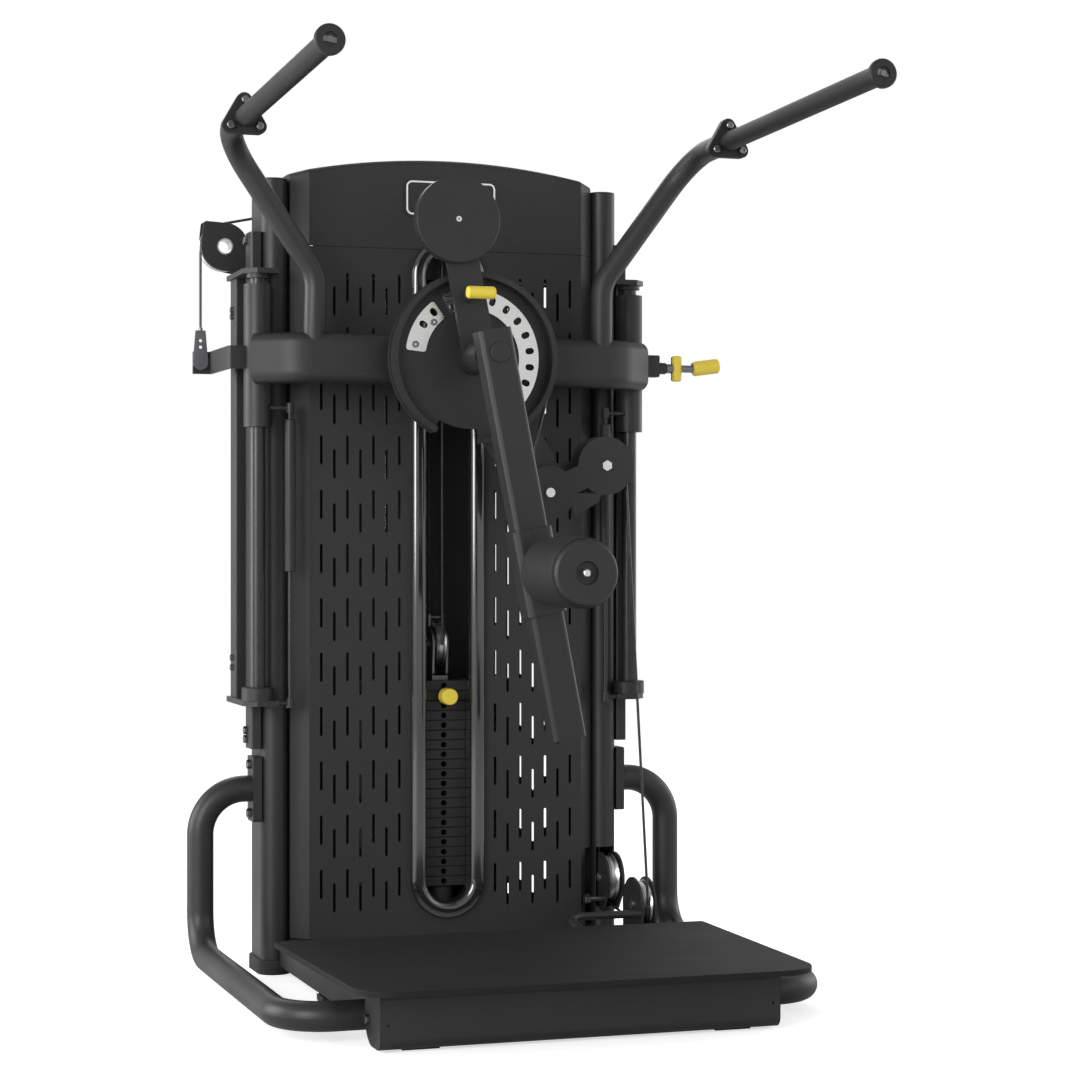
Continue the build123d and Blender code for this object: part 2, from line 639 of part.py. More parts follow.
def grip_end_caps():
    """Flared end stops with a centre screw."""
    along = (Vector(*GRIP_END) - Vector(*GRIP_START)).normalized()
    back = Vector(*GRIP_END) + along * 2
    cap = rod(tuple(back), tuple(back + along * 12), 23.5)
    cap = fillet(cap.edges().filter_by(GeomType.CIRCLE), 3)
    recess = rod(tuple(back + along * 9), tuple(back + along * 13), 11)
    screw = rod(tuple(back + along * 9), tuple(back + along * 11.5), 5)
    return both_sides(cap - recess) + both_sides(screw)


def pulley_arm():
    """The plate that runs from the pivot housing to the two carriage pulleys, and its front cheek."""
    ox, oz = OUTER_PULLEY
    ix, iz = INNER_PULLEY
    reach = disc_hull([(0, PIVOT_Z, 58), (ix, iz, 48)])
    lobes = disc_hull([(ix, iz, 48), (ox, oz, 20)]) + Pos(ox, oz) * Circle(53)
    back = front_plate(reach + lobes, HOUSING_FRONT, 6)
    back = back - along_y(-230, -200, 0, PIVOT_Z, 32)
    neck = disc_hull([(ix, iz, 22), (ox, oz, 22)])
    cheek_shape = Pos(ix, iz) * Circle(48) + Pos(ox, oz) * Circle(53) + neck
    cheek = front_plate(cheek_shape, -252, 4)
    pieces = []
    for x, z in (OUTER_PULLEY, INNER_PULLEY):
        pieces.append(along_y(-256, HOUSING_FRONT - 6, x, z, 8))
        cheek = cheek - along_y(-258, -250, x, z, 8)
        back = back + along_y(-230, HOUSING_FRONT - 6, x, z, 13)
        back = back - along_y(-231, HOUSING_FRONT - 6, x, z, 8)
    tab = outline((ox - 62, oz - 92), (ox - 14, oz - 66), (ox - 8, oz - 50), (ox - 70, oz - 50))
    tab = front_plate(tab, -252, 4)
    return [back, cheek + tab, *pieces, *arm_bolts()]


def arm_bolts():
    """The bolt heads over the carriage pulleys and the flange screws of the handles."""
    heads = [hex_bolt((OUTER_PULLEY[0], -256, OUTER_PULLEY[1]), (0, -1, 0), 17, 8)]
    heads.append(along_y(-261, -256, INNER_PULLEY[0], INNER_PULLEY[1], 8.5))
    for x, z in flange_lobes():
        face = GRIP_START[1] - 8
        heads += both_sides(along_y(face - 4, face + 16, x, z, 4) + along_y(face - 4, face, x, z, 6.5))
    return heads


def side_brackets():
    """Left: a strap from the sleeve round the post to the cable link. Right: the height pin's block."""
    low, high = PIVOT_Z - 17, PIVOT_Z + 24
    front = block((-410, -RAIL_X - 18), (-87, -81), (low, high))
    side = block((-410, -404), (-87, 95), (low, high))
    rear = block((-440, -404), (89, 95), (low, high))
    sleeve = along_z(low - 1, high + 1, -RAIL_X, RAIL_Y, SLEEVE_R)
    corner = (front + side).edges().filter_by(Axis.Z).sort_by(lambda e: e.center().X + e.center().Y)[0]
    strap = fillet(corner, 5)
    strap = strap + rear - sleeve - along_y(80, 100, LINK_X, LINK_Z, 4)
    pin_block = block((RAIL_X + 20, 412), (RAIL_Y - 15, RAIL_Y + 15), (low, high))
    pin_block = fillet(pin_block.edges().filter_by(Axis.X), 4)
    pin_block = pin_block - mirrored(sleeve) - along_x(RAIL_X, 420, RAIL_Y, PIVOT_Z, 6)
    collar = along_x(412, 428, RAIL_Y, PIVOT_Z, 11, 6) - along_x(417, 429, RAIL_Y, PIVOT_Z, 9.4)
    return [strap, pin_block + collar, *cable_clevis()]


def cable_clevis():
    """The drilled link that anchors the balance cable, its pin and the cable's swaged end."""
    x, y, z = LINK_X, BALANCE[1], LINK_Z
    link = disc_hull([(x, z, 14), (x - 8.3, z + LINK_TOP - 1, 1), (x + 8.3, z + LINK_TOP - 1, 1)])
    link = front_plate(link, y + 2.5, 5)
    for lift in (28, 40):
        link = link - along_y(y - 5, y + 5, x, z + lift, 3)
    link = link - along_y(y - 5, y + 5, x, z, 4)
    pin = along_y(y - 5, y + 12, x, z, 4) + along_y(y - 5, y - 2.5, x, z, 6)
    end = along_z(z + LINK_TOP, z + LINK_LENGTH, x, y, 4)
    return [link, pin, end]


def height_pin():
    """The spring pin with its yellow cross bar and grip; it is drawn clear of the drilled rod."""
    z = PIVOT_Z
    tip = RAIL_X + RAIL_R + 0.6
    stem = along_x(tip, 441, RAIL_Y, z, 5.9)
    spindle = along_x(461, 484, RAIL_Y, z, 7)
    hub = along_x(430, 442, RAIL_Y, z, 9, 5.9)
    bar = along_z(z - 24, z + 24, 451, RAIL_Y, 10)
    bar = fillet(bar.edges().filter_by(GeomType.CIRCLE), 4)
    grip = along_x(484, 537, RAIL_Y, z, 14)
    grip = fillet(grip.edges().filter_by(GeomType.CIRCLE), 5)
    grip = Pos(484, RAIL_Y, z) * Rot(0, -8, 0) * Pos(-484, -RAIL_Y, -z) * grip
    return [stem, hub + bar, spindle, grip - along_x(470, 484, RAIL_Y, z, 7)]


# ---------------------------------------------------------------- cam
def slot_angles():
    """Angles of the index holes, counted both ways from the lever arm's resting position."""
    return [90 + TILT + INDEX_STEP * k for k in (-8, -7, -6, -5, -4, -3, -2, -1, 0, 2, 3)]


def polar(radius, degrees):
    return (radius * math.cos(math.radians(degrees)), PIVOT_Z + radius * math.sin(math.radians(degrees)))


def sector(inner, outer, start, end):
    """A ring segment in the X-Z plane about the pivot, between two angles."""
    middle = (start + end) / 2
    edges = [ThreePointArc(polar(outer, start), polar(outer, middle), polar(outer, end)),
             Line(polar(outer, end), polar(inner, end)),
             ThreePointArc(polar(inner, end), polar(inner, middle), polar(inner, start)),
             Line(polar(inner, start), polar(outer, start))]
    return make_face(Wire(edges))


def index_holes():
    return [Pos(*polar(INDEX_R, a)) * SlotOverall(16, 11.4, rotation=a) for a in slot_angles()]


def index_disc():
    """The cable cam: a face plate, a grooved rim with a gap below, and a hub."""
    gap_start, gap_end = -85, 241
    wall_r = CAM_R - CAM_RING_WALL
    rim = front_plate(sector(wall_r, CAM_R, gap_start, gap_end), CAM_BACK, CAM_BACK - CAM_FRONT)
    face = Pos(0, PIVOT_Z) * Circle(CAM_FACE_R) + sector(CAM_FACE_R - 20, wall_r + 1, gap_start, gap_end)
    face = Sketch() + face - index_holes()
    plate = front_plate(face, CAM_FACE_FRONT + CAM_FACE_THICK, CAM_FACE_THICK)
    groove = Pos(0, CABLE_Y, PIVOT_Z) * Rot(90, 0, 0) * Torus(CAM_R - 1, 3.2)
    hub = along_y(-264, CAM_BACK + 4, 0, PIVOT_Z, 30)
    disc = rim + plate + hub - groove
    return [disc - along_y(-270, -200, 0, PIVOT_Z, SHAFT_R + RUN_FIT)]


def index_plates():
    """Bright drilled segments on the cam's face and their screws."""
    pieces = []
    for start, end in ((-45, 117), (126, 174)):
        segment = Sketch() + sector(87, 124, start, end)
        segment = fillet(segment.vertices(), 5)
        pieces.append(front_plate(segment - index_holes(), CAM_FACE_FRONT, 3))
    for angle in (-37, 112, 126 + 4, 168):
        x, z = polar(INDEX_R if angle != 112 else 98, angle)
        if angle == 130:
            x, z = polar(95, 139)
        pieces.append(along_y(CAM_FACE_FRONT - 6, CAM_FACE_FRONT - 3, x, z, 6, 2.5))
    return pieces


# ---------------------------------------------------------------- lever
def arm_outline():
    return disc_hull([(0, PIVOT_Z, ARM_WIDTH / 2 + 1), (0, PIVOT_Z + COUNTERWEIGHT_L, ARM_WIDTH / 2)])


def lever_arm():
    """The plate above the pivot that carries the counterweight, with the hub and the index pin's collar."""
    plate = front_plate(arm_outline(), ARM_FRONT + ARM_THICK, ARM_THICK)
    hub = along_y(LEVER_FRONT + LEVER_DEPTH, ARM_FRONT + ARM_THICK, 0, PIVOT_Z, 31)
    collar = along_y(ARM_FRONT - 20, ARM_FRONT, 0, PIVOT_Z + INDEX_R, 12)
    body = plate + hub + collar
    body = body - along_y(LEVER_FRONT, -200, 0, PIVOT_Z, SHAFT_R + RUN_FIT)
    body = body - along_y(ARM_FRONT - 30, ARM_FRONT - 5, 0, PIVOT_Z + INDEX_R, 9.4)
    return [tilted(body - along_y(ARM_FRONT - 30, -260, 0, PIVOT_Z + INDEX_R, 5.6))]


def counterweight():
    """The heavy disc on the arm's top end, pocketed for the arm, and its screw."""
    z = PIVOT_Z + COUNTERWEIGHT_L
    disc = along_y(-306, -282, 0, z, COUNTERWEIGHT_R)
    disc = chamfer(disc.edges().filter_by(GeomType.CIRCLE), 1.2)
    pocket = front_plate(arm_outline(), -270, -ARM_FRONT - 270)
    screw = along_y(-308, -306, 0, z, 5, 1.6)
    return [tilted(disc - pocket), tilted(screw)]


def lever_section(wall):
    return RectangleRounded(LEVER_WIDTH - 2 * wall, LEVER_DEPTH - 2 * wall, 9 - wall * 0.6)


def lever_tube():
    """The hanging lever with its bearing sleeve and two end caps."""
    middle_y = LEVER_FRONT + LEVER_DEPTH / 2
    tube = Pos(0, middle_y, 0) * plan_plate(lever_section(0) - lever_section(4), PIVOT_Z - LEVER_LENGTH,
                                            LEVER_LENGTH + LEVER_HEAD)
    tube = tube + along_y(LEVER_FRONT + 1, LEVER_FRONT + LEVER_DEPTH, 0, PIVOT_Z, 22)
    tube = tube - along_y(LEVER_FRONT - 5, -300, 0, PIVOT_Z, SHAFT_R + RUN_FIT)
    pieces = [tilted(tube)]
    for bottom in (PIVOT_Z + LEVER_HEAD, PIVOT_Z - LEVER_LENGTH - 3):
        cap = Pos(0, middle_y, 0) * plan_plate(lever_section(0), bottom, 3)
        pieces.append(tilted(cap))
    return pieces


def index_pin():
    """The spring pin with its yellow T-handle; it is drawn clear of the cam's holes."""
    z = PIVOT_Z + INDEX_R
    stem = along_y(-345, CAM_FACE_FRONT - 3 - 0.6, 0, z, 5.5)
    neck = along_y(-345, ARM_FRONT - 20.4, 0, z, 9, 5.5)
    stem, neck = tilted(stem), tilted(neck)
    at = tilted(along_y(-366, -344, 0, z, 1)).center()
    bar = along_x(at.X - 26, at.X + 26, at.Y, at.Z, 11)
    bar = fillet(bar.edges().filter_by(GeomType.CIRCLE), 5)
    return [stem, neck + bar - stem]


def roller_slide():
    """The sliding sleeve on the lever, with the roller's boss and axle."""
    z = PIVOT_Z - ROLLER_L
    middle_y = LEVER_FRONT + LEVER_DEPTH / 2
    outer = RectangleRounded(LEVER_WIDTH + 12, LEVER_DEPTH + 12, 13)
    inner = RectangleRounded(LEVER_WIDTH + 0.8, LEVER_DEPTH + 0.8, 9.2)
    sleeve = Pos(0, middle_y, 0) * plan_plate(outer - inner, z - 75, 150)
    face = LEVER_FRONT - 6
    boss = along_y(face - 30, face, 0, z, 26) + along_y(ROLLER_BACK + 1, face - 29, 0, z, 17)
    axle = along_y(ROLLER_FRONT + 30, ROLLER_BACK + 2, 0, z, 10)
    screws = [tilted(along_y(face - 1.5, face, 0, z + lift, 4)) for lift in (-65, 65)]
    return [tilted(sleeve + boss + axle)] + screws


def roller_pad():
    """The soft roller sleeve with a hard dished end and its screw, on a bored core."""
    z = PIVOT_Z - ROLLER_L
    pad = along_y(ROLLER_FRONT + 10, ROLLER_BACK, 0, z, ROLLER_R, 30)
    pad = fillet(pad.edges().filter_by(GeomType.CIRCLE).filter_by(lambda e: e.radius > 50), 5)
    return [tilted(pad)]


def roller_core():
    """The bearing core inside the roller, its dished end plate and screw."""
    z = PIVOT_Z - ROLLER_L
    core = along_y(ROLLER_FRONT + 10, ROLLER_BACK, 0, z, 30, 10 + RUN_FIT)
    core = core - along_y(ROLLER_FRONT + 9, ROLLER_FRONT + 30, 0, z, 14)
    plate = along_y(ROLLER_FRONT, ROLLER_FRONT + 10, 0, z, 55)
    plate = fillet(plate.faces().sort_by(Axis.Y)[0].edges(), 6)
    dish = Pos(0, ROLLER_FRONT, z) * Rot(90, 0, 0) * Cone(46, 20, 8)
    plate = plate - Pos(0, 4, 0) * dish
    screw = along_y(ROLLER_FRONT + 3, ROLLER_FRONT + 8, 0, z, 9)
    return [tilted(core), tilted(plate), tilted(screw - along_y(ROLLER_FRONT, ROLLER_FRONT + 6, 0, z, 4))]


# ---------------------------------------------------------------- base and platform
def bumper_tube():
    """A floor-to-upright guard tube on its flange, drawn on the right."""
    flange = block((OUTER_X, OUTER_X + 16), (BUMPER_Y - 25, BUMPER_Y + 25), (BUMPER_Z - 59, BUMPER_Z + 59))
    flange = fillet(flange.edges().filter_by(Axis.X), 4)
    for lift in (-44, 44):
        slot = Pos(BUMPER_Y, BUMPER_Z + lift) * SlotOverall(18, 9, rotation=90)
        flange = flange - side_plate(slot, OUTER_X - 1, 20)
    points = [(OUTER_X + 14, BUMPER_Y, BUMPER_Z), (BUMPER_X, BUMPER_Y, BUMPER_Z),
              (BUMPER_X, BUMPER_Y, BUMPER_FLOOR_Z), (BUMPER_X + 4, -723, BUMPER_FLOOR_Z),
              (RAIL_TUBE_X + RAIL_TUBE_WIDTH / 2, -723, BUMPER_FLOOR_Z)]
    tube = bent_tube(points, [80, 75, 80], BUMPER_R, 3)
    return flange + tube


def bar_section(inset):
    """The front bar's rounded section in the Y-Z plane, with larger curves behind."""
    low, high = BAR_BOTTOM + inset, DECK_UNDER - inset
    front, back = BAR_FRONT + inset, BAR_FRONT + BAR_DEPTH - inset
    face = outline((front, low), (back, low), (back, high), (front, high))
    ends = face.vertices().sort_by(Axis.X)
    face = fillet(ends[:2], 17 - inset)
    return fillet(face.vertices().sort_by(Axis.X)[-2:], 44 - inset)


def front_bar():
    bar = side_plate(bar_section(0), -BAR_HALF + 3, 2 * (BAR_HALF - 3))
    bar = bar - side_plate(bar_section(4), -BAR_HALF, 2 * BAR_HALF)
    for x in (-BAR_HALF + 13, BAR_HALF - 13):
        bar = bar - along_y(BAR_FRONT - 1, BAR_FRONT + 3, x, 44, 2.5)
    return [bar]


def platform_deck():
    """The standing plate: slightly narrower in front, with large front corners."""
    plate = outline((-DECK_BACK_HALF, DECK_BACK), (DECK_BACK_HALF, DECK_BACK),
                    (DECK_FRONT_HALF, DECK_FRONT), (-DECK_FRONT_HALF, DECK_FRONT))
    corners = plate.vertices().sort_by(Axis.Y)
    plate = fillet(corners[:2], DECK_CORNER_R)
    plate = fillet(plate.vertices().sort_by(Axis.Y)[-2:], 8)
    deck = plan_plate(plate, DECK_UNDER, DECK_THICK)
    return [fillet(deck.faces().sort_by(Axis.Z)[-1].edges(), 2)]


def platform_frame():
    """Two low rails from the tower to the front bar, and the legs and cross tube under the deck."""
    low, high = RAIL_TUBE_BOTTOM, BASE_BEAM_TOP
    width, height = RAIL_TUBE_WIDTH, high - low
    section = RectangleRounded(width, height, 5) - RectangleRounded(width - 6, height - 6, 2)
    rail = Plane.XZ.offset(-RAIL_TUBE_BACK) * Pos(RAIL_TUBE_X, (low + high) / 2) * section
    rail = extrude(rail, RAIL_TUBE_BACK - BAR_FRONT - 20)
    rail = rail - side_plate(bar_section(0), -BAR_HALF, 2 * BAR_HALF)
    rail = rail.solids().sort_by(lambda solid: solid.volume)[-1]
    inner = RAIL_TUBE_X - width / 2 - 1
    leg_y = (LEG_Y - 22, LEG_Y + 22)
    leg = block((inner, inner + width + 2), leg_y, (high, DECK_UNDER))
    foot = block((inner, inner + width + 2), leg_y, (4, low))
    cross = Rectangle(46, 40) - Rectangle(40, 34)
    cross = side_plate(Pos(LEG_Y, DECK_UNDER - 20) * cross, -inner, 2 * inner)
    rear = block((-285, 285), (RAIL_TUBE_BACK, -55), (27, high))
    return both_sides(rail) + [cross, rear] + both_sides(leg) + both_sides(foot)


# ---------------------------------------------------------------- pulley brackets and fasteners
def base_pulley_bracket():
    """Cheek plates for the two base pulleys, the axles and the bent guard rod."""
    x, y, z = BASE_FRONT
    cheek = disc_hull([(y, z, 50), (y - 36, 62, 12), (y + 36, 62, 12)])
    front = side_plate(cheek, x - 15, 4) + side_plate(cheek, x + 11, 4)
    front = front + block((RAIL_TUBE_X + 22, x + 15), (y - 48, y + 48), (50, 62))
    front = front - along_x(x - 20, x + 20, y, z, 8)
    rx, ry, rz = BASE_REAR
    cheek = disc_hull([(ry - 6, rz, 48), (ry - 10, 112, 20)])
    rear = side_plate(cheek, rx - 16, 4) + side_plate(cheek, rx + 12, 4)
    rear = rear & block((rx - 30, rx + 30), (-200, -61), (60, 240))
    rear_plates = rear - along_x(rx - 20, rx + 20, ry, rz, 8)
    guard = [(x - 15, y - 44, DECK_TOP), (178, y - 44, DECK_TOP), (178, LEG_Y + 24, 84)]
    guard = bent_tube(guard, [30], 7, 2)
    axles = [along_x(x - 18, x + 18, y, z, 8), along_x(rx - 18, rx + 18, ry, rz, 8)]
    return [front, rear_plates, guard] + axles


def balance_pulley_bracket():
    """Two teardrop cheeks behind the left upright, joined by a bent foot, and the hollow axle."""
    x, y, z = BALANCE
    shape = disc_hull([(x, z, 44), (x - 34, z + 40, 6), (-OUTER_X - 2, z - 46, 6), (-OUTER_X - 2, z - 6, 6)])
    cheeks = front_plate(shape, y - 11, 4) + front_plate(shape, y + 15, 4)
    foot = block((-OUTER_X - 4, -OUTER_X), (4, y - 11), (z - 52, z))
    spacer = along_y(y - 11, y + 11, -OUTER_X - 2, z - 46, 5)
    bracket = cheeks + foot + spacer - along_y(y - 20, y + 20, x, z, 15)
    axle = along_y(y - 17, y + 17, x, z, 15, 12.5)
    return [bracket, axle]


def top_pulley_centres():
    """Front centre, rear centre and right-hand pulleys at the top of the tower."""
    return [(WRAP_R, -44, TOP_PULLEY_Z), (-WRAP_R, 44, TOP_PULLEY_Z), (UPRIGHT_X - WRAP_R, -24, TOP_PULLEY_Z)]


def top_pulley_brackets():
    """Hanger plates that stand on the top beam, and the axles of the pulleys behind the head cover."""
    pieces = []
    for x, y, z in top_pulley_centres():
        right_hand = x > 200
        eye = 12 if right_hand else 20
        foot_x = x - 14 if right_hand else x
        low = TOP_BEAM_TOP + 6
        hull = disc_hull([(x, z, eye), (foot_x - 20, low, 6), (foot_x + 20, low, 6)])
        inward = 1 if y < 0 else -1
        near = y + inward * 13
        plate = front_plate(hull, near + 2, 4)
        foot_y = (min(near, 0) - 2, max(near, 0) + 2)
        foot = block((foot_x - 26, foot_x + 26), foot_y, (TOP_BEAM_TOP, TOP_BEAM_TOP + 5))
        pieces.append(plate + foot)
        pieces.append(along_y(min(y - 10, near), max(y + 10, near), x, z, 8) - plate)
    return pieces


def frame_fasteners():
    """Bolt heads of the rails, flanges, base and base pulleys."""
    bolts = []
    for side in SIDES:
        out = (side, 0, 0)
        for z in (1330, 440, 424):
            bolts.append(hex_bolt((side * (OUTER_X + 20), -12, z), out, 13, 6))
        for z in (1208, 1196, 570, 552):
            bolts.append(hex_bolt((side * 376, 39, z), out, 10, 5))
        for lift in (-44, 44):
            bolts.append(hex_bolt((side * (OUTER_X + 16), BUMPER_Y, BUMPER_Z + lift), out, 14, 7))
        bolts.append(hex_bolt((side * BAR_HALF, BAR_FRONT + BAR_DEPTH - 26, 44), out, 14, 7))
    bolts.append(along_x(262, 300, -92, 116, 5) + hex_bolt((272, -92, 116), (-1, 0, 0), 17, 10))
    bolts.append(hex_bolt((BASE_FRONT[0] + 15 + 3, BASE_FRONT[1], BASE_FRONT[2]), (1, 0, 0), 17, 8))
    return bolts


# ---------------------------------------------------------------- cable
def arc_points(centre, radius, start, end):
    """Start, middle and end of an arc in a plane, from its centre and two angles in degrees."""
    out = []
    for angle in (start, (start + end) / 2, end):
        a = math.radians(angle)
        out.append((centre[0] + radius * math.cos(a), centre[1] + radius * math.sin(a)))
    return out


def cable_solid(edges):
    path = Wire(edges)
    return swept(Circle(CABLE_R), path)


def cam_cable():
    """From the cam's groove under the inner pulley and over the outer one, in one front-facing plane."""
    ix, iz = INNER_PULLEY
    ox, oz = OUTER_PULLEY
    cam_r = CAM_R - 1.5
    reach = math.hypot(ix, PIVOT_Z - iz)
    down = math.degrees(math.atan2(iz - PIVOT_Z, ix)) - math.degrees(math.asin((cam_r + WRAP_R) / reach))
    gap = math.hypot(ox - ix, oz - iz)
    up = math.degrees(math.atan2(oz - iz, ox - ix)) + math.degrees(math.asin(2 * WRAP_R / gap))
    cam = arc_points((0, PIVOT_Z), cam_r, down + 90 + 40, down + 90)
    under = arc_points((ix, iz), WRAP_R, down + 270, up + 270)
    over = arc_points((ox, oz), WRAP_R, up + 90, 0)
    at = lambda p: (p[0], CABLE_Y, p[1])
    edges = [ThreePointArc(*[at(p) for p in cam]), Line(at(cam[2]), at(under[0])),
             ThreePointArc(*[at(p) for p in under]), Line(at(under[2]), at(over[0])),
             ThreePointArc(*[at(p) for p in over])]
    return [cable_solid(edges)]


def side_cable_run():
    """The straight run from the outer carriage pulley down to the front base pulley."""
    top = Vector(OUTER_PULLEY[0] + WRAP_R, CABLE_Y, OUTER_PULLEY[1])
    low = Vector(BASE_FRONT[0], BASE_FRONT[1] - WRAP_R, BASE_FRONT[2])
    joint = (top - low).normalized() * CABLE_JOINT
    return [rod(tuple(low + joint), tuple(top - joint), CABLE_R)]


def balance_cable_run():
    """The straight run from the cable link up to the balance pulley."""
    x = BALANCE[0] - WRAP_R
    return [along_z(LINK_Z + LINK_LENGTH, BALANCE[2], x, BALANCE[1], CABLE_R)]


def stack_cable_legs():
    """The two straight legs between the floating pulley and the top pulleys."""
    top = TOP_PULLEY_Z - CABLE_JOINT
    return [rod((0, y, FLOAT_Z), (0, y * 44 / 43, top), CABLE_R) for y in (-WRAP_R, WRAP_R)]


def arc_solid(points, place):
    """A cable wrapped on a pulley: an arc's points, each put in its place in the machine."""
    return cable_solid([ThreePointArc(*[place(point) for point in points])])


def base_cable():
    """Under the two base pulleys, along the tangent line that joins their undersides."""
    fx, fy, fz = BASE_FRONT
    rx, ry, rz = BASE_REAR
    leave = 270 + math.degrees(math.atan2(rz - fz, ry - fy))
    start = arc_points((fy, fz), WRAP_R, 180, leave)
    end = arc_points((ry, rz), WRAP_R, leave, 360)
    return [arc_solid(start, lambda p: (fx, *p)), rod((fx, *start[2]), (rx, *end[0]), CABLE_R),
            arc_solid(end, lambda p: (rx, *p))]


def top_cable():
    """Up the right upright, over the side pulley and down to the front leg of the stack."""
    x, y = BASE_REAR[0], BASE_REAR[1] + WRAP_R
    crown = TOP_PULLEY_Z + WRAP_R
    front, _, side = top_pulley_centres()
    over = arc_points((side[0], TOP_PULLEY_Z), WRAP_R, 0, 90)
    down = arc_points((front[0], TOP_PULLEY_Z), WRAP_R, 90, 180)
    return [along_z(BASE_REAR[2], TOP_PULLEY_Z, x, y, CABLE_R),
            arc_solid(over, lambda p: (p[0], side[1], p[1])),
            rod((side[0], side[1], crown), (front[0], front[1], crown), CABLE_R),
            arc_solid(down, lambda p: (p[0], front[1], p[1]))]


def balance_cable():
    """From the rear leg of the stack over its pulley and across to the balance pulley."""
    _, rear, _ = top_pulley_centres()
    bx, by, bz = BALANCE
    leave = 90 + math.degrees(math.atan2(rear[2] - bz, rear[0] - bx))
    up = arc_points((rear[0], rear[2]), WRAP_R, 0, leave)
    over = arc_points((bx, bz), WRAP_R, leave, 180)
    return [arc_solid(up, lambda p: (p[0], rear[1], p[1])),
            rod((up[2][0], rear[1], up[2][1]), (over[0][0], by, over[0][1]), CABLE_R),
            arc_solid(over, lambda p: (p[0], by, p[1]))]


def main_cable():
    """The parts of the cable that stay put: round the base, up the right upright and across the top."""
    return base_cable() + top_cable() + balance_cable()


# ---------------------------------------------------------------- every node
def top_pulley(index):
    return [pulley(top_pulley_centres()[index], "y")]


NODES = {
    "uprights": uprights,
    "tube_end_caps": tube_end_caps,
    "rubber_feet": rubber_feet,
    "tower_beams": tower_beams,
    "front_shroud": front_shroud,
    "rear_shroud": rear_shroud,
    "head_cover": head_cover,
    "window_trim": window_trim,
    "badge_plate": badge_plate,
    "stack_guide_rods": stack_guide_rods,
    "weight_plates": weight_plates,
    "stack_buffers": stack_buffers,
    "side_rails": side_rails,
    "guide_rods": guide_rods,
    "rod_mounts": rod_mounts,
    "gas_rods": gas_rods,
    "bumper_tube_right": lambda: [bumper_tube()],
    "bumper_tube_left": lambda: [mirrored(bumper_tube())],
    "front_bar": front_bar,
    "platform_deck": platform_deck,
    "platform_frame": platform_frame,
    "base_pulley_bracket": base_pulley_bracket,
    "balance_pulley_bracket": balance_pulley_bracket,
    "top_pulley_brackets": top_pulley_brackets,
    "frame_fasteners": frame_fasteners,
    "main_cable": main_cable,
    "side_cable_run": side_cable_run,
    "balance_cable_run": balance_cable_run,
    "stack_cable_legs": stack_cable_legs,
    "base_pulley_front": lambda: [pulley(BASE_FRONT, "x")],
    "base_pulley_rear": lambda: [pulley(BASE_REAR, "x")],
    "balance_pulley": lambda: [pulley(BALANCE, "y") - along_y(60, 110, BALANCE[0], BALANCE[2], 15.1)],
    "top_pulley_front": lambda: top_pulley(0),
    "top_pulley_rear": lambda: top_pulley(1),
    "top_pulley_side": lambda: top_pulley(2),
    "floating_pulley": lambda: [pulley((0, 0, FLOAT_Z), "x")],
    "carriage_pulley_outer": lambda: [pulley((OUTER_PULLEY[0], CABLE_Y, OUTER_PULLEY[1]), "y")],
    "carriage_pulley_inner": lambda: [pulley((INNER_PULLEY[0], CABLE_Y, INNER_PULLEY[1]), "y")],
    "crossbar": crossbar,
    "slide_sleeves": slide_sleeves,
    "handle_tubes": handle_tubes,
    "hand_grips": hand_grips,
    "grip_end_caps": grip_end_caps,
    "pulley_arm": pulley_arm,
    "gas_cylinders": gas_cylinders,
    "side_brackets": side_brackets,
    "cam_cable": cam_cable,
    "index_disc": index_disc,
    "index_plates": index_plates,
    "lever_arm": lever_arm,
    "counterweight": counterweight,
    "lever_tube": lever_tube,
    "index_pin": index_pin,
    "roller_slide": roller_slide,
    "roller_pad": roller_pad,
    "roller_core": roller_core,
    "height_pin": height_pin,
    "head_plate": head_plate,
    "selector_stem": selector_stem,
    "selector_pin": selector_pin,
}


def build():
    """Makes every node, then moves the footprint's centre to the origin and writes the files."""
    made = {}
    for name, make in NODES.items():
        solids = [solid for piece in make() for solid in piece.solids()]
        made[name] = Compound(solids)
    box = Compound(list(made.values())).bounding_box()
    shift = Location((-(box.min.X + box.max.X) / 2, -(box.min.Y + box.max.Y) / 2, 0))
    print("shift", shift.position, "size", box.size, "lowest", box.min.Z)
    os.makedirs("parts", exist_ok=True)
    for name, compound in made.items():
        export_step(compound.moved(shift), f"parts/{name}.step")


build()
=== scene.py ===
"""Finishes, soft roller, straight cable runs, screws and studio for the standing multi-hip machine."""
import math

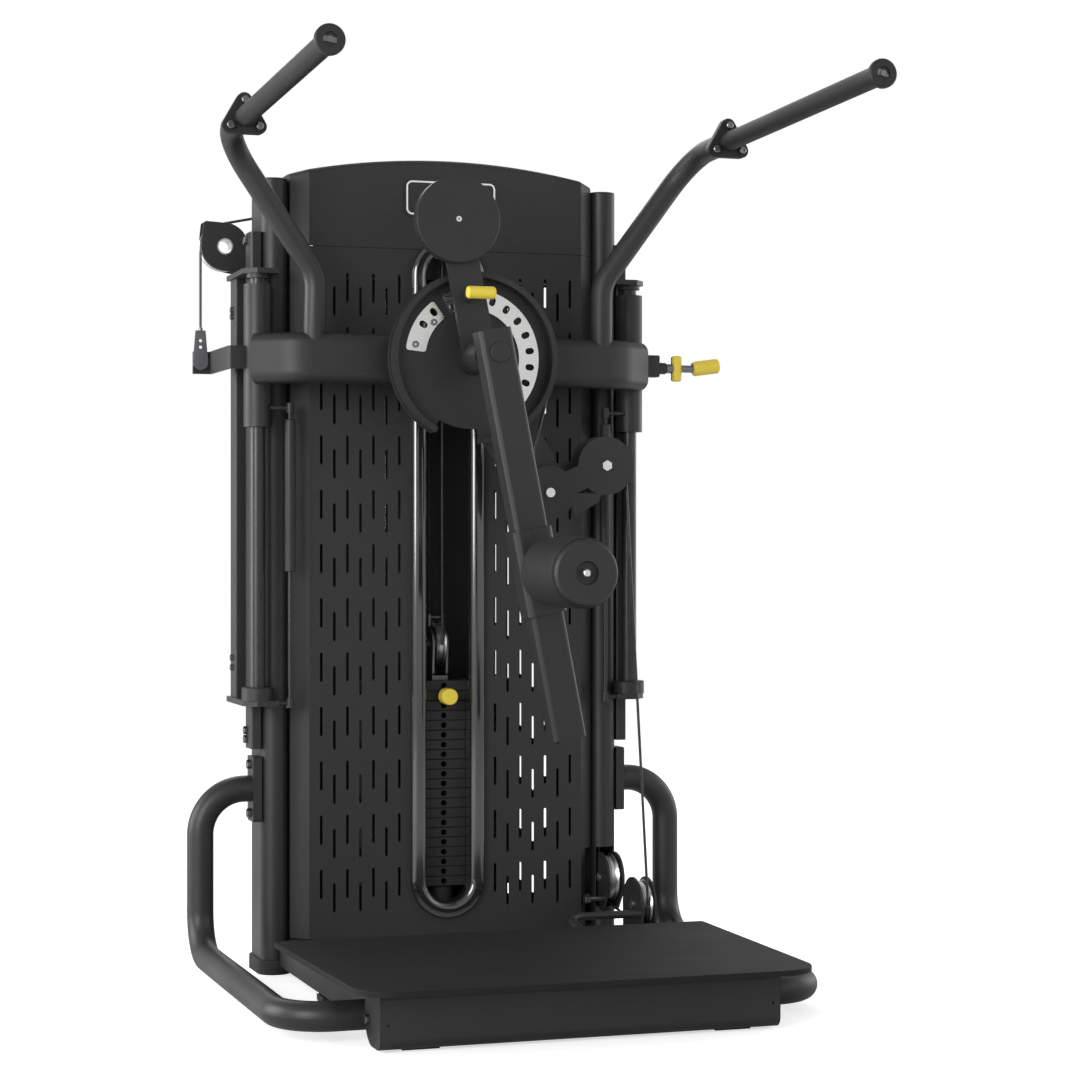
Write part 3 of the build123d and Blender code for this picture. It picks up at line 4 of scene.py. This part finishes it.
import bpy
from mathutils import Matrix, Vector


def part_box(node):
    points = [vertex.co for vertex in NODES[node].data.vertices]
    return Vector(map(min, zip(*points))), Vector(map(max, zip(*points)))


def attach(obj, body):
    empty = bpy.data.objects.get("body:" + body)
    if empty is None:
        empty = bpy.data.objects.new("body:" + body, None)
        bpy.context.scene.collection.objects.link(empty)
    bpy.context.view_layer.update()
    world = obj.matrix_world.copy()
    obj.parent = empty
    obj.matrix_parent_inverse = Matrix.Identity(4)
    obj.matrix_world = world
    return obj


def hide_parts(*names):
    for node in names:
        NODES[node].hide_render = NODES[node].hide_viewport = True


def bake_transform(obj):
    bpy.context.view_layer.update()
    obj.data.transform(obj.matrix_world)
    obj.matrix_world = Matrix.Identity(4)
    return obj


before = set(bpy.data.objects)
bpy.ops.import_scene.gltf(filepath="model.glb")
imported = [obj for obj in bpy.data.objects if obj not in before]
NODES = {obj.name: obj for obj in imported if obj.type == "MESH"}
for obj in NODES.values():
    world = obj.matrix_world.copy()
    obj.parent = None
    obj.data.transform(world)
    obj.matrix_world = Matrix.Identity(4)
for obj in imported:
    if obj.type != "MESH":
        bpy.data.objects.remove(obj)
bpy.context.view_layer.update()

MIDDLE_X = sum(corner[0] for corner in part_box("uprights")) / 2

# Studio and camera, in metres and degrees.
CAMERA_AT = (-1.4058, -4.2964, 0.786)
CAMERA_HEADING = 18.46
CAMERA_LENS = 88.0
SENSOR = 36.0

# Brightness of the room at eye level and overhead, and of the floor's own glow.
ROOM_AT_HORIZON = 0.75
ROOM_OVERHEAD = 0.4
FLOOR_GLOW = 0.62

# Sizes of the pieces that are made here, in metres.
CABLE_R = 0.0025
ROLLER_BORE = 0.0301
ROLLER_EDGE = 0.006
ROLLER_CROWN = 0.012
FLANGE_LOBE = 0.029
FLANGE_TIP = 0.013
SCREW_R = 0.0065
SCREW_HEAD = 0.004
DISH_REACH = 0.012
DISH_SCREW_R = 0.006

# Depths and radii that tell one finish from another on the frame's own parts, in metres.
BADGE_BORDER_DEPTH = 0.0005
INDEX_SCREW_DEPTH = 0.0029
WEIGHT_SCREW_R, WEIGHT_SCREW_DEPTH = 0.0055, 0.0035
SELECTOR_KNOB_DEPTH = 0.0321
INDEX_HANDLE_DEPTH = 0.0225
PIN_GRIP_LENGTH = 0.0545
PIN_BAR_START, PIN_BAR_END = 0.0715, 0.0915
CAP_SCREW_INSET, CAP_SCREW_R = 0.0235, 0.0052
ARM_BOLT_R, ARM_BOLT_STANDOFF = 0.0105, 0.0035
LINK_WIDTH, LINK_BACK, LINK_FRONT = 0.05, 0.0085, 0.0176
BASE_AXLE_R = 0.0082
BALANCE_AXLE_R = 0.0152


# ---------------------------------------------------------------- node and colour helpers
def linear(code):
    """An sRGB hex colour as linear RGBA."""
    parts = [int(code[i:i + 2], 16) / 255 for i in (1, 3, 5)]
    return (*[p / 12.92 if p <= 0.04045 else ((p + 0.055) / 1.055) ** 2.4 for p in parts], 1)


def add(tree, kind, properties=None, **sockets):
    """Adds a shader node, sets its properties, and fills each named socket with a link or a constant."""
    node = tree.nodes.new("ShaderNode" + kind)
    for name, value in (properties or {}).items():
        setattr(node, name, value)
    for name, value in sockets.items():
        by_number = name[0] == "i" and name[1:].isdigit()
        socket = node.inputs[int(name[1:]) if by_number else name.replace("_", " ")]
        if isinstance(value, bpy.types.NodeSocket):
            tree.links.new(value, socket)
        else:
            socket.default_value = value
    return node


def new_material(name, metallic=0.0, specular=0.5, coat=0.0, coat_roughness=0.1):
    """An empty material with its shader, its node tree and the piece's own coordinates."""
    material = bpy.data.materials.new(name)
    material.use_nodes = True
    tree = material.node_tree
    tree.nodes.clear()
    shader = add(tree, "BsdfPrincipled", Metallic=metallic, Coat_Weight=coat, Coat_Roughness=coat_roughness)
    shader.inputs["Specular IOR Level"].default_value = specular
    add(tree, "OutputMaterial", Surface=shader.outputs[0])
    place = add(tree, "TexCoord").outputs["Object"]
    return material, tree, shader, place


def per_metre(millimetres):
    """A noise scale whose features are about that many millimetres across."""
    return 1000 / millimetres


def grainy(name, low, high, grain, height, roughness, cloud=180, **shader_settings):
    """A coat or skin with fine grain: two close colours, a bumpy surface and slow changes of gloss."""
    material, tree, shader, place = new_material(name, **shader_settings)
    fine = add(tree, "TexNoise", Vector=place, Scale=per_metre(grain), Detail=3.0, Roughness=0.6)
    slow = add(tree, "TexNoise", Vector=place, Scale=per_metre(cloud), Detail=2.0)
    shade = add(tree, "MapRange", Value=fine.outputs["Fac"], From_Min=0.35, From_Max=0.65)
    colour = add(tree, "Mix", {"data_type": "RGBA"},
                 i0=shade.outputs["Result"], i6=linear(low), i7=linear(high))
    gloss = add(tree, "MapRange", Value=slow.outputs["Fac"], From_Min=0.3, From_Max=0.7,
                To_Min=roughness[0], To_Max=roughness[1])
    bump = add(tree, "Bump", Height=fine.outputs["Fac"], Strength=0.5, Distance=height / 1000)
    tree.links.new(colour.outputs[2], shader.inputs["Base Color"])
    tree.links.new(gloss.outputs["Result"], shader.inputs["Roughness"])
    tree.links.new(bump.outputs["Normal"], shader.inputs["Normal"])
    return material


# ---------------------------------------------------------------- the finishes
# Satin powder coat on welded tube: a fine orange peel, about 1 mm across, drawn at 2.5 mm so that it shows.
POWDER_COAT = grainy("satin_black_powder_coat", "#202021", "#262627", 2.5, 0.12, (0.4, 0.5), specular=0.4)
# Fine-textured powder coat on folded sheet: matt and even, with a tighter grain than the tubes.
SHEET_COAT = grainy("textured_black_powder_coat", "#212121", "#282828", 1.8, 0.15, (0.52, 0.6), specular=0.4)
# Non-slip deck coating: rubbery grit that catches the light as tiny specks.
DECK_COAT = grainy("non_slip_deck_coating", "#0e0e0f", "#171718", 3.0, 0.5, (0.66, 0.76), specular=0.25)
# Painted weight plates: thin satin paint on ground steel.
PLATE_PAINT = grainy("painted_weight_plate", "#19191a", "#202021", 4.0, 0.06, (0.38, 0.5), specular=0.4)
# Moulded nylon caps: spark-eroded mould grain, dull and even.
MOULDED_NYLON = grainy("moulded_black_nylon", "#181819", "#1f1f20", 1.6, 0.2, (0.5, 0.6), specular=0.4)
# Vulcanised rubber for shoes, pads and buffers: dull, slightly mottled.
FOOT_RUBBER = grainy("vulcanised_rubber", "#161616", "#202020", 2.2, 0.3, (0.7, 0.82))
# Sleeve of the hand grips: dense rubber with a fine pebble that blurs every highlight.
GRIP_RUBBER = grainy("pebbled_grip_rubber", "#161617", "#1e1e1f", 1.6, 0.35, (0.55, 0.66), specular=0.35)
# Skin of the roller: closed-cell foam dipped in rubber, the dullest and darkest finish on the machine.
ROLLER_SKIN = grainy("dipped_foam_skin", "#101011", "#161617", 2.4, 0.4, (0.66, 0.78), specular=0.4)
# Yellow vinyl dip on the adjusting handles: bright, with a fine sandy grain.
YELLOW_DIP = grainy("yellow_vinyl_dip", "#cbb038", "#dcc648", 1.4, 0.25, (0.42, 0.52), specular=0.4)
# Piano-black moulding round the window: polished mould, so it mirrors the room.
GLOSS_ABS = grainy("polished_black_abs", "#1b1b1c", "#1f1f20", 60.0, 0.05, (0.1, 0.16),
                   specular=0.9, coat=1.0)
# Ground and black-plated guide rods: dark mirror with a trace of oil.
BLACK_PLATE = grainy("black_plated_ground_rod", "#2b2b2c", "#323233", 8.0, 0.02, (0.28, 0.38), metallic=0.35)
# Thin white border line of the badge.
BORDER_PAINT = grainy("white_border_paint", "#d9d9d6", "#e6e6e3", 2.0, 0.05, (0.4, 0.5))


def brushed(name, low, high, roughness, direction):
    """Plated or ground metal with fine scratches drawn out along one axis."""
    material, tree, shader, place = new_material(name, metallic=1.0)
    stretch = [per_metre(1.5)] * 3
    stretch[direction] = per_metre(60)
    drawn = add(tree, "Mapping", {"vector_type": "TEXTURE"}, Vector=place, Scale=[1 / s for s in stretch])
    scratch = add(tree, "TexNoise", Vector=drawn.outputs["Vector"], Scale=1.0, Detail=4.0)
    colour = add(tree, "Mix", {"data_type": "RGBA"},
                 i0=scratch.outputs["Fac"], i6=linear(low), i7=linear(high))
    gloss = add(tree, "MapRange", Value=scratch.outputs["Fac"], From_Min=0.3, From_Max=0.7,
                To_Min=roughness[0], To_Max=roughness[1])
    bump = add(tree, "Bump", Height=scratch.outputs["Fac"], Strength=0.25, Distance=0.00005)
    tree.links.new(colour.outputs[2], shader.inputs["Base Color"])
    tree.links.new(gloss.outputs["Result"], shader.inputs["Roughness"])
    tree.links.new(bump.outputs["Normal"], shader.inputs["Normal"])
    return material


# Nickel-plated index plates and bolts: near white with faint grinding marks.
NICKEL_PLATE = brushed("nickel_plated_steel", "#dcdcda", "#f0f0ee", (0.22, 0.34), 0)
# Hard-chromed rods: bright, drawn out lengthways.
HARD_CHROME = brushed("hard_chromed_rod", "#c9cbcd", "#dfe0e2", (0.1, 0.18), 2)
# Dark zinc on studs, axles and pins.
DARK_ZINC = brushed("dark_zinc_plate", "#6c6d70", "#88898c", (0.28, 0.4), 1)


def turned(name, axis, centre):
    """Lathe-turned aluminium: fine rings about the wheel's own axle."""
    material, tree, shader, place = new_material(name, metallic=1.0)
    centred = add(tree, "Mapping", {"vector_type": "POINT"}, Vector=place, Location=[-c for c in centre])
    rings = add(tree, "TexWave", {"wave_type": "RINGS", "rings_direction": axis},
                Vector=centred.outputs["Vector"], Scale=per_metre(12), Distortion=0.6, Detail=2.0)
    colour = add(tree, "Mix", {"data_type": "RGBA"}, i0=rings.outputs["Fac"], i6=linear("#b9babc"),
                 i7=linear("#dadbdc"))
    gloss = add(tree, "MapRange", Value=rings.outputs["Fac"], To_Min=0.24, To_Max=0.38)
    bump = add(tree, "Bump", Height=rings.outputs["Fac"], Strength=0.2, Distance=0.0001)
    tree.links.new(colour.outputs[2], shader.inputs["Base Color"])
    tree.links.new(gloss.outputs["Result"], shader.inputs["Roughness"])
    tree.links.new(bump.outputs["Normal"], shader.inputs["Normal"])
    return material


def coated_rope():
    """Nylon-coated wire rope: the lay of the strands shows through the coat as slanted ridges 6 mm apart."""
    material, tree, shader, place = new_material("nylon_coated_rope", coat=0.2)
    lay = add(tree, "TexWave", {"bands_direction": "DIAGONAL"}, Vector=place, Scale=per_metre(38),
              Distortion=0.4)
    colour = add(tree, "Mix", {"data_type": "RGBA"}, i0=lay.outputs["Fac"], i6=linear("#121212"),
                 i7=linear("#232324"))
    gloss = add(tree, "MapRange", Value=lay.outputs["Fac"], To_Min=0.32, To_Max=0.45)
    bump = add(tree, "Bump", Height=lay.outputs["Fac"], Strength=0.5, Distance=0.0004)
    tree.links.new(colour.outputs[2], shader.inputs["Base Color"])
    tree.links.new(gloss.outputs["Result"], shader.inputs["Roughness"])
    tree.links.new(bump.outputs["Normal"], shader.inputs["Normal"])
    return material


ROPE = coated_rope()


# ---------------------------------------------------------------- finishes on the frame's own parts
def paint(node, *materials, rule=None):
    """Gives a part its finishes. The rule tells from a face's centre which one that face takes."""
    mesh = NODES[node].data
    mesh.materials.clear()
    for material in materials:
        mesh.materials.append(material)
    for face in mesh.polygons:
        face.material_index = rule(face.center) if rule else 0


PLAIN = {
    POWDER_COAT: ["uprights", "tower_beams", "side_rails", "rod_mounts", "bumper_tube_right",
                  "bumper_tube_left", "front_bar", "platform_frame", "top_pulley_brackets", "crossbar",
                  "slide_sleeves",
                  "handle_tubes", "lever_arm", "lever_tube", "roller_slide", "index_disc", "gas_cylinders"],
    SHEET_COAT: ["front_shroud", "rear_shroud", "head_cover"],
    DECK_COAT: ["platform_deck"],
    GLOSS_ABS: ["window_trim"],
    MOULDED_NYLON: ["tube_end_caps"],
    PLATE_PAINT: ["weight_plates", "head_plate"],
    FOOT_RUBBER: ["rubber_feet", "stack_buffers"],
    GRIP_RUBBER: ["hand_grips"],
    HARD_CHROME: ["stack_guide_rods"],
    BLACK_PLATE: ["guide_rods", "gas_rods"],
    DARK_ZINC: ["frame_fasteners", "selector_stem"],
    ROPE: ["main_cable", "cam_cable"],
}
for material, names in PLAIN.items():
    for name in names:
        paint(name, material)

PULLEY_AXES = {
    "base_pulley_front": "X", "base_pulley_rear": "X", "floating_pulley": "X", "balance_pulley": "Y",
    "top_pulley_front": "Y", "top_pulley_rear": "Y", "top_pulley_side": "Y",
    "carriage_pulley_outer": "Y", "carriage_pulley_inner": "Y"}
for name, axis in PULLEY_AXES.items():
    low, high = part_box(name)
    paint(name, turned("turned_" + name, axis, (low + high) / 2))


def near_axle(node, reach, across, y_limit=None):
    """A rule: 1 for faces within reach of a round part's axis, seen on the two axes across it."""
    low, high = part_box(node)
    middle = (low + high) / 2
    first, second = across

    def rule(centre):
        distance = math.hypot(centre[first] - middle[first], centre[second] - middle[second])
        in_front = y_limit is None or centre.y < low.y + y_limit
        return int(distance < reach and in_front)
    return rule


def in_front_of(node, depth):
    """A rule: 1 for faces nearer the machine's front than that depth from the part's own front."""
    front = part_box(node)[0].y
    return lambda centre: int(centre.y < front + depth)


paint("badge_plate", POWDER_COAT, BORDER_PAINT, rule=in_front_of("badge_plate", BADGE_BORDER_DEPTH))
paint("index_plates", NICKEL_PLATE, DARK_ZINC, rule=in_front_of("index_plates", INDEX_SCREW_DEPTH))
paint("counterweight", POWDER_COAT, NICKEL_PLATE,
      rule=near_axle("counterweight", WEIGHT_SCREW_R, (0, 2), WEIGHT_SCREW_DEPTH))
paint("roller_core", POWDER_COAT)
paint("selector_pin", DARK_ZINC, YELLOW_DIP, rule=in_front_of("selector_pin", SELECTOR_KNOB_DEPTH))
paint("index_pin", DARK_ZINC, YELLOW_DIP, rule=in_front_of("index_pin", INDEX_HANDLE_DEPTH))

pin_low, pin_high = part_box("height_pin")


def pin_handle(centre):
    """1 for the height pin's cross bar and its grip."""
    along = centre.x - pin_low.x
    return int(centre.x > pin_high.x - PIN_GRIP_LENGTH or PIN_BAR_START < along < PIN_BAR_END)


paint("height_pin", DARK_ZINC, YELLOW_DIP, rule=pin_handle)

caps_low, caps_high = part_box("grip_end_caps")
caps_z = (caps_low.z + caps_high.z) / 2


def cap_screw(centre):
    """1 for the screws in the grips' end caps."""
    right = centre.x > MIDDLE_X
    side = caps_high.x - CAP_SCREW_INSET if right else caps_low.x + CAP_SCREW_INSET
    return int(math.hypot(centre.x - side, centre.z - caps_z) < CAP_SCREW_R)


paint("grip_end_caps", MOULDED_NYLON, DARK_ZINC, rule=cap_screw)

outer_low, outer_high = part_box("carriage_pulley_outer")
inner_low, inner_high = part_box("carriage_pulley_inner")


def arm_bolt(centre):
    """1 for the bolt heads over the two carriage pulleys."""
    for low, high in ((outer_low, outer_high), (inner_low, inner_high)):
        middle = (low + high) / 2
        near = math.hypot(centre.x - middle.x, centre.z - middle.z) < ARM_BOLT_R
        if near and centre.y < low.y - ARM_BOLT_STANDOFF:
            return 1
    return 0


paint("pulley_arm", POWDER_COAT, NICKEL_PLATE, rule=arm_bolt)

link_low, link_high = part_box("side_brackets")


def cable_link(centre):
    """1 for the drilled link on the left strap."""
    depth = link_high.y - centre.y
    return int(centre.x < link_low.x + LINK_WIDTH and LINK_BACK < depth < LINK_FRONT)


paint("side_brackets", POWDER_COAT, DARK_ZINC,
      rule=cable_link)


def axle_rule(pulleys, reach, across):
    """1 for the axle ends that carry the named pulleys."""
    middles = [sum(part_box(name), Vector()) / 2 for name in pulleys]
    first, second = across
    return lambda c: int(any(math.hypot(c[first] - m[first], c[second] - m[second]) < reach for m in middles))


paint("base_pulley_bracket", POWDER_COAT, NICKEL_PLATE,
      rule=axle_rule(["base_pulley_front", "base_pulley_rear"], BASE_AXLE_R, (1, 2)))
paint("balance_pulley_bracket", POWDER_COAT, NICKEL_PLATE,
      rule=axle_rule(["balance_pulley"], BALANCE_AXLE_R, (0, 2)))


# ---------------------------------------------------------------- pieces made here
def clear_selection():
    if bpy.context.object and bpy.context.object.mode != "OBJECT":
        bpy.ops.object.mode_set(mode="OBJECT")
    bpy.ops.object.select_all(action="DESELECT")


def select_faces(piece, rule):
    """Selects the faces that the rule picks by centre and normal, and opens edit mode."""
    bpy.ops.object.mode_set(mode="EDIT")
    bpy.ops.mesh.select_mode(type="FACE")
    bpy.ops.mesh.select_all(action="DESELECT")
    bpy.ops.object.mode_set(mode="OBJECT")
    for face in piece.data.polygons:
        face.select = rule(face.center, face.normal)
    bpy.ops.object.mode_set(mode="EDIT")


def select_edges(piece, rule):
    """Selects the edges that the rule picks by their two ends, and opens edit mode."""
    bpy.ops.object.mode_set(mode="EDIT")
    bpy.ops.mesh.select_mode(type="EDGE")
    bpy.ops.mesh.select_all(action="DESELECT")
    bpy.ops.object.mode_set(mode="OBJECT")
    points = piece.data.vertices
    for edge in piece.data.edges:
        edge.select = rule(points[edge.vertices[0]].co, points[edge.vertices[1]].co)
    bpy.ops.object.mode_set(mode="EDIT")


def settle(piece, name, material, body, place=None, turn=None, smooth=35):
    """Closes edit mode, puts the piece in its place, bakes that place into its mesh and gives it a body."""
    bpy.ops.object.mode_set(mode="OBJECT")
    piece.name = piece.data.name = name
    if turn:
        piece.rotation_euler = turn
    if place:
        piece.location = place
    bpy.ops.object.transform_apply(location=True, rotation=True, scale=True)
    bpy.ops.object.shade_smooth_by_angle(angle=math.radians(smooth))
    piece.data.materials.clear()
    piece.data.materials.append(material)
    if body:
        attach(piece, body)
    return piece


def soft_roller():
    """The foam sleeve: a bored barrel with rounded ends and a shallow crown."""
    low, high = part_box("roller_pad")
    radius = (high.x - low.x) / 2
    depth = high.y - low.y
    clear_selection()
    bpy.ops.mesh.primitive_cylinder_add(vertices=96, radius=radius, depth=depth)
    piece = bpy.context.object
    select_faces(piece, lambda centre, normal: abs(normal.z) > 0.9)
    bpy.ops.mesh.inset(thickness=radius - ROLLER_BORE)
    bpy.ops.mesh.delete(type="FACE")
    bpy.ops.mesh.select_mode(type="EDGE")
    bpy.ops.mesh.select_non_manifold()
    bpy.ops.mesh.bridge_edge_loops()
    select_edges(piece, lambda a, b: abs(a.z - b.z) < 1e-5 and min(a.xy.length, b.xy.length) > radius - 1e-4)
    bpy.ops.mesh.bevel(offset=ROLLER_EDGE, segments=6, profile=0.5, affect="EDGES")
    select_edges(piece, lambda a, b: abs(a.z - b.z) > depth * 0.5 and a.xy.length > radius - 1e-4)
    bpy.ops.mesh.subdivide(number_cuts=12)
    bpy.ops.object.mode_set(mode="OBJECT")
    for vertex in piece.data.vertices:
        if vertex.co.xy.length > ROLLER_BORE * 1.5:
            along = 2 * vertex.co.z / depth
            shrink = 1 - ROLLER_CROWN * along ** 4
            vertex.co.x *= shrink
            vertex.co.y *= shrink
    bpy.ops.object.mode_set(mode="EDIT")
    bpy.ops.mesh.select_all(action="SELECT")
    bpy.ops.mesh.remove_doubles(threshold=1e-6)
    bpy.ops.mesh.normals_make_consistent(inside=False)
    settle(piece, "foam_roller", ROLLER_SKIN, "roller",
           place=(low + high) / 2, turn=(math.radians(90), 0, 0))
    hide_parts("roller_pad")


def taut_run(name, ends):
    """Straight cables between pairs of points, with rings at the ends only, so each stays straight."""
    clear_selection()
    made = []
    for low, high in ends:
        low, high = Vector(low), Vector(high)
        along = high - low
        bpy.ops.mesh.primitive_cylinder_add(vertices=20, radius=CABLE_R, depth=along.length,
                                            location=(low + high) / 2,
                                            rotation=along.to_track_quat("Z", "Y").to_euler())
        run = bpy.context.object
        select_faces(run, lambda centre, normal: abs(normal.z) > 0.9)
        bpy.ops.mesh.inset(thickness=CABLE_R * 0.35)
        bpy.ops.object.mode_set(mode="OBJECT")
        made.append(run)
    clear_selection()
    for run in made:
        run.select_set(True)
    bpy.context.view_layer.objects.active = made[0]
    if len(made) > 1:
        bpy.ops.object.join()
    piece = bpy.context.object
    return settle(piece, name, ROPE, None)


def cable_runs():
    low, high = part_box("side_cable_run")
    foot = (high.x - CABLE_R, low.y + CABLE_R, low.z)
    head = (low.x + CABLE_R, high.y - CABLE_R, high.z)
    side = taut_run("side_cable", [(foot, head)])
    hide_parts("side_cable_run")
    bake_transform(side)
    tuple(foot)
    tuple(head)

    low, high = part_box("balance_cable_run")
    middle = (low + high) / 2
    foot, head = (middle.x, middle.y, low.z), (middle.x, middle.y, high.z)
    balance = taut_run("balance_cable", [(foot, head)])
    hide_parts("balance_cable_run")
    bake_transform(balance)
    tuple(foot)
    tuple(head)

    low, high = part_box("stack_cable_legs")
    x = (low.x + high.x) / 2
    legs = [((x, y, low.z), (x, y, high.z)) for y in (low.y + CABLE_R, high.y - CABLE_R)]
    stack = taut_run("stack_cables", legs)
    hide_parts("stack_cable_legs")
    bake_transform(stack)


def socket_screw(name, at, material=DARK_ZINC, radius=SCREW_R, body="carriage"):
    """A button-head screw that faces the front, with a bevelled rim and a round socket."""
    clear_selection()
    bpy.ops.mesh.primitive_cylinder_add(vertices=24, radius=radius, depth=SCREW_HEAD)
    piece = bpy.context.object
    select_faces(piece, lambda centre, normal: normal.z > 0.9)
    bpy.ops.mesh.inset(thickness=radius * 0.22)
    bpy.ops.transform.translate(value=(0, 0, radius * 0.16))
    bpy.ops.mesh.inset(thickness=radius * 0.34)
    bpy.ops.mesh.extrude_region_move(TRANSFORM_OT_translate={"value": (0, 0, -SCREW_HEAD * 0.5)})
    return settle(piece, name, material, body, place=at, turn=(math.radians(90), 0, 0))


def flange_screws():
    """Six screws in the three-lobed flanges of the handles."""
    grips_low, grips_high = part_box("hand_grips")
    tubes_low, tubes_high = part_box("handle_tubes")
    reach = FLANGE_LOBE * math.cos(math.radians(30)) + FLANGE_TIP
    z = grips_low.z + FLANGE_LOBE / 2 + FLANGE_TIP
    y = grips_high.y - 0.008 - SCREW_HEAD - SCREW_HEAD / 2
    for side, x in (("left", tubes_low.x + reach), ("right", tubes_high.x - reach)):
        for number, angle in enumerate((90, 210, 330)):
            a = math.radians(angle)
            at = (x + FLANGE_LOBE * math.cos(a), y, z + FLANGE_LOBE * math.sin(a))
            socket_screw(f"flange_screw_{side}_{number}", at)


def dish_screw():
    """The small bright screw in the middle of the roller's dished end plate."""
    low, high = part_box("roller_core")
    middle = (low + high) / 2
    reach = near_axle("roller_core", DISH_REACH, (0, 2), DISH_REACH)
    seat = min(face.center.y for face in NODES["roller_core"].data.polygons if reach(face.center))
    at = (middle.x, seat - SCREW_HEAD / 4, middle.z)
    socket_screw("roller_screw", at, NICKEL_PLATE, DISH_SCREW_R, "roller")


soft_roller()
cable_runs()
flange_screws()
dish_screw()


# ---------------------------------------------------------------- studio
def studio():
    """A pale floor, a pale room and soft panels, with the camera at the viewing angle."""
    clear_selection()
    bpy.ops.mesh.primitive_plane_add(size=16, location=(0, 0, -0.0005))
    floor = bpy.context.object
    floor.name = "studio_floor"
    material, tree, shader, _ = new_material("pale_floor", specular=0.1)
    shader.inputs["Base Color"].default_value = linear("#dedede")
    shader.inputs["Roughness"].default_value = 0.9
    shader.inputs["Emission Color"].default_value = linear("#ffffff")
    seen = add(tree, "LightPath").outputs["Is Camera Ray"]
    glow = add(tree, "Math", {"operation": "MULTIPLY"}, i0=seen, i1=FLOOR_GLOW)
    tree.links.new(glow.outputs[0], shader.inputs["Emission Strength"])
    floor.data.materials.append(material)

    world = bpy.data.worlds.new("pale_room")
    bpy.context.scene.world = world
    world.use_nodes = True
    tree = world.node_tree
    tree.nodes.clear()
    height = add(tree, "SeparateXYZ", Vector=add(tree, "TexCoord").outputs["Generated"])
    dim = add(tree, "MapRange", Value=height.outputs["Z"], To_Min=ROOM_AT_HORIZON, To_Max=ROOM_OVERHEAD)
    seen = add(tree, "LightPath").outputs["Is Camera Ray"]
    strength = add(tree, "Mix", i0=seen, i2=dim.outputs["Result"], i3=1.0)
    room = add(tree, "Background", Color=linear("#ffffff"), Strength=strength.outputs[0])
    add(tree, "OutputWorld", Surface=room.outputs[0])

    for name, at, size, power in (("key_panel", (-3.6, -3.2, 1.9), 2.4, 165),
                                  ("fill_panel", (3.4, -2.6, 2.2), 2.4, 22),
                                  ("left_rim_panel", (-4.0, 1.5, 1.5), 2.6, 130),
                                  ("right_rim_panel", (4.4, 1.2, 1.5), 2.4, 50),
                                  ("back_panel", (0.5, 3.4, 3.2), 2.6, 50)):
        light = bpy.data.lights.new(name, "AREA")
        light.energy = power
        light.size = size
        lamp = bpy.data.objects.new(name, light)
        bpy.context.scene.collection.objects.link(lamp)
        lamp.location = at
        aim = Vector((0, 0, 0.8)) - Vector(at)
        lamp.rotation_euler = aim.to_track_quat("-Z", "Y").to_euler()

    camera = bpy.data.cameras.new("viewpoint")
    camera.lens = CAMERA_LENS
    camera.sensor_width = SENSOR
    holder = bpy.data.objects.new("viewpoint", camera)
    bpy.context.scene.collection.objects.link(holder)
    holder.location = CAMERA_AT
    holder.rotation_euler = (math.radians(90), 0, math.radians(-CAMERA_HEADING))
    bpy.context.scene.camera = holder
    bpy.context.scene.view_settings.view_transform = "Standard"


studio()
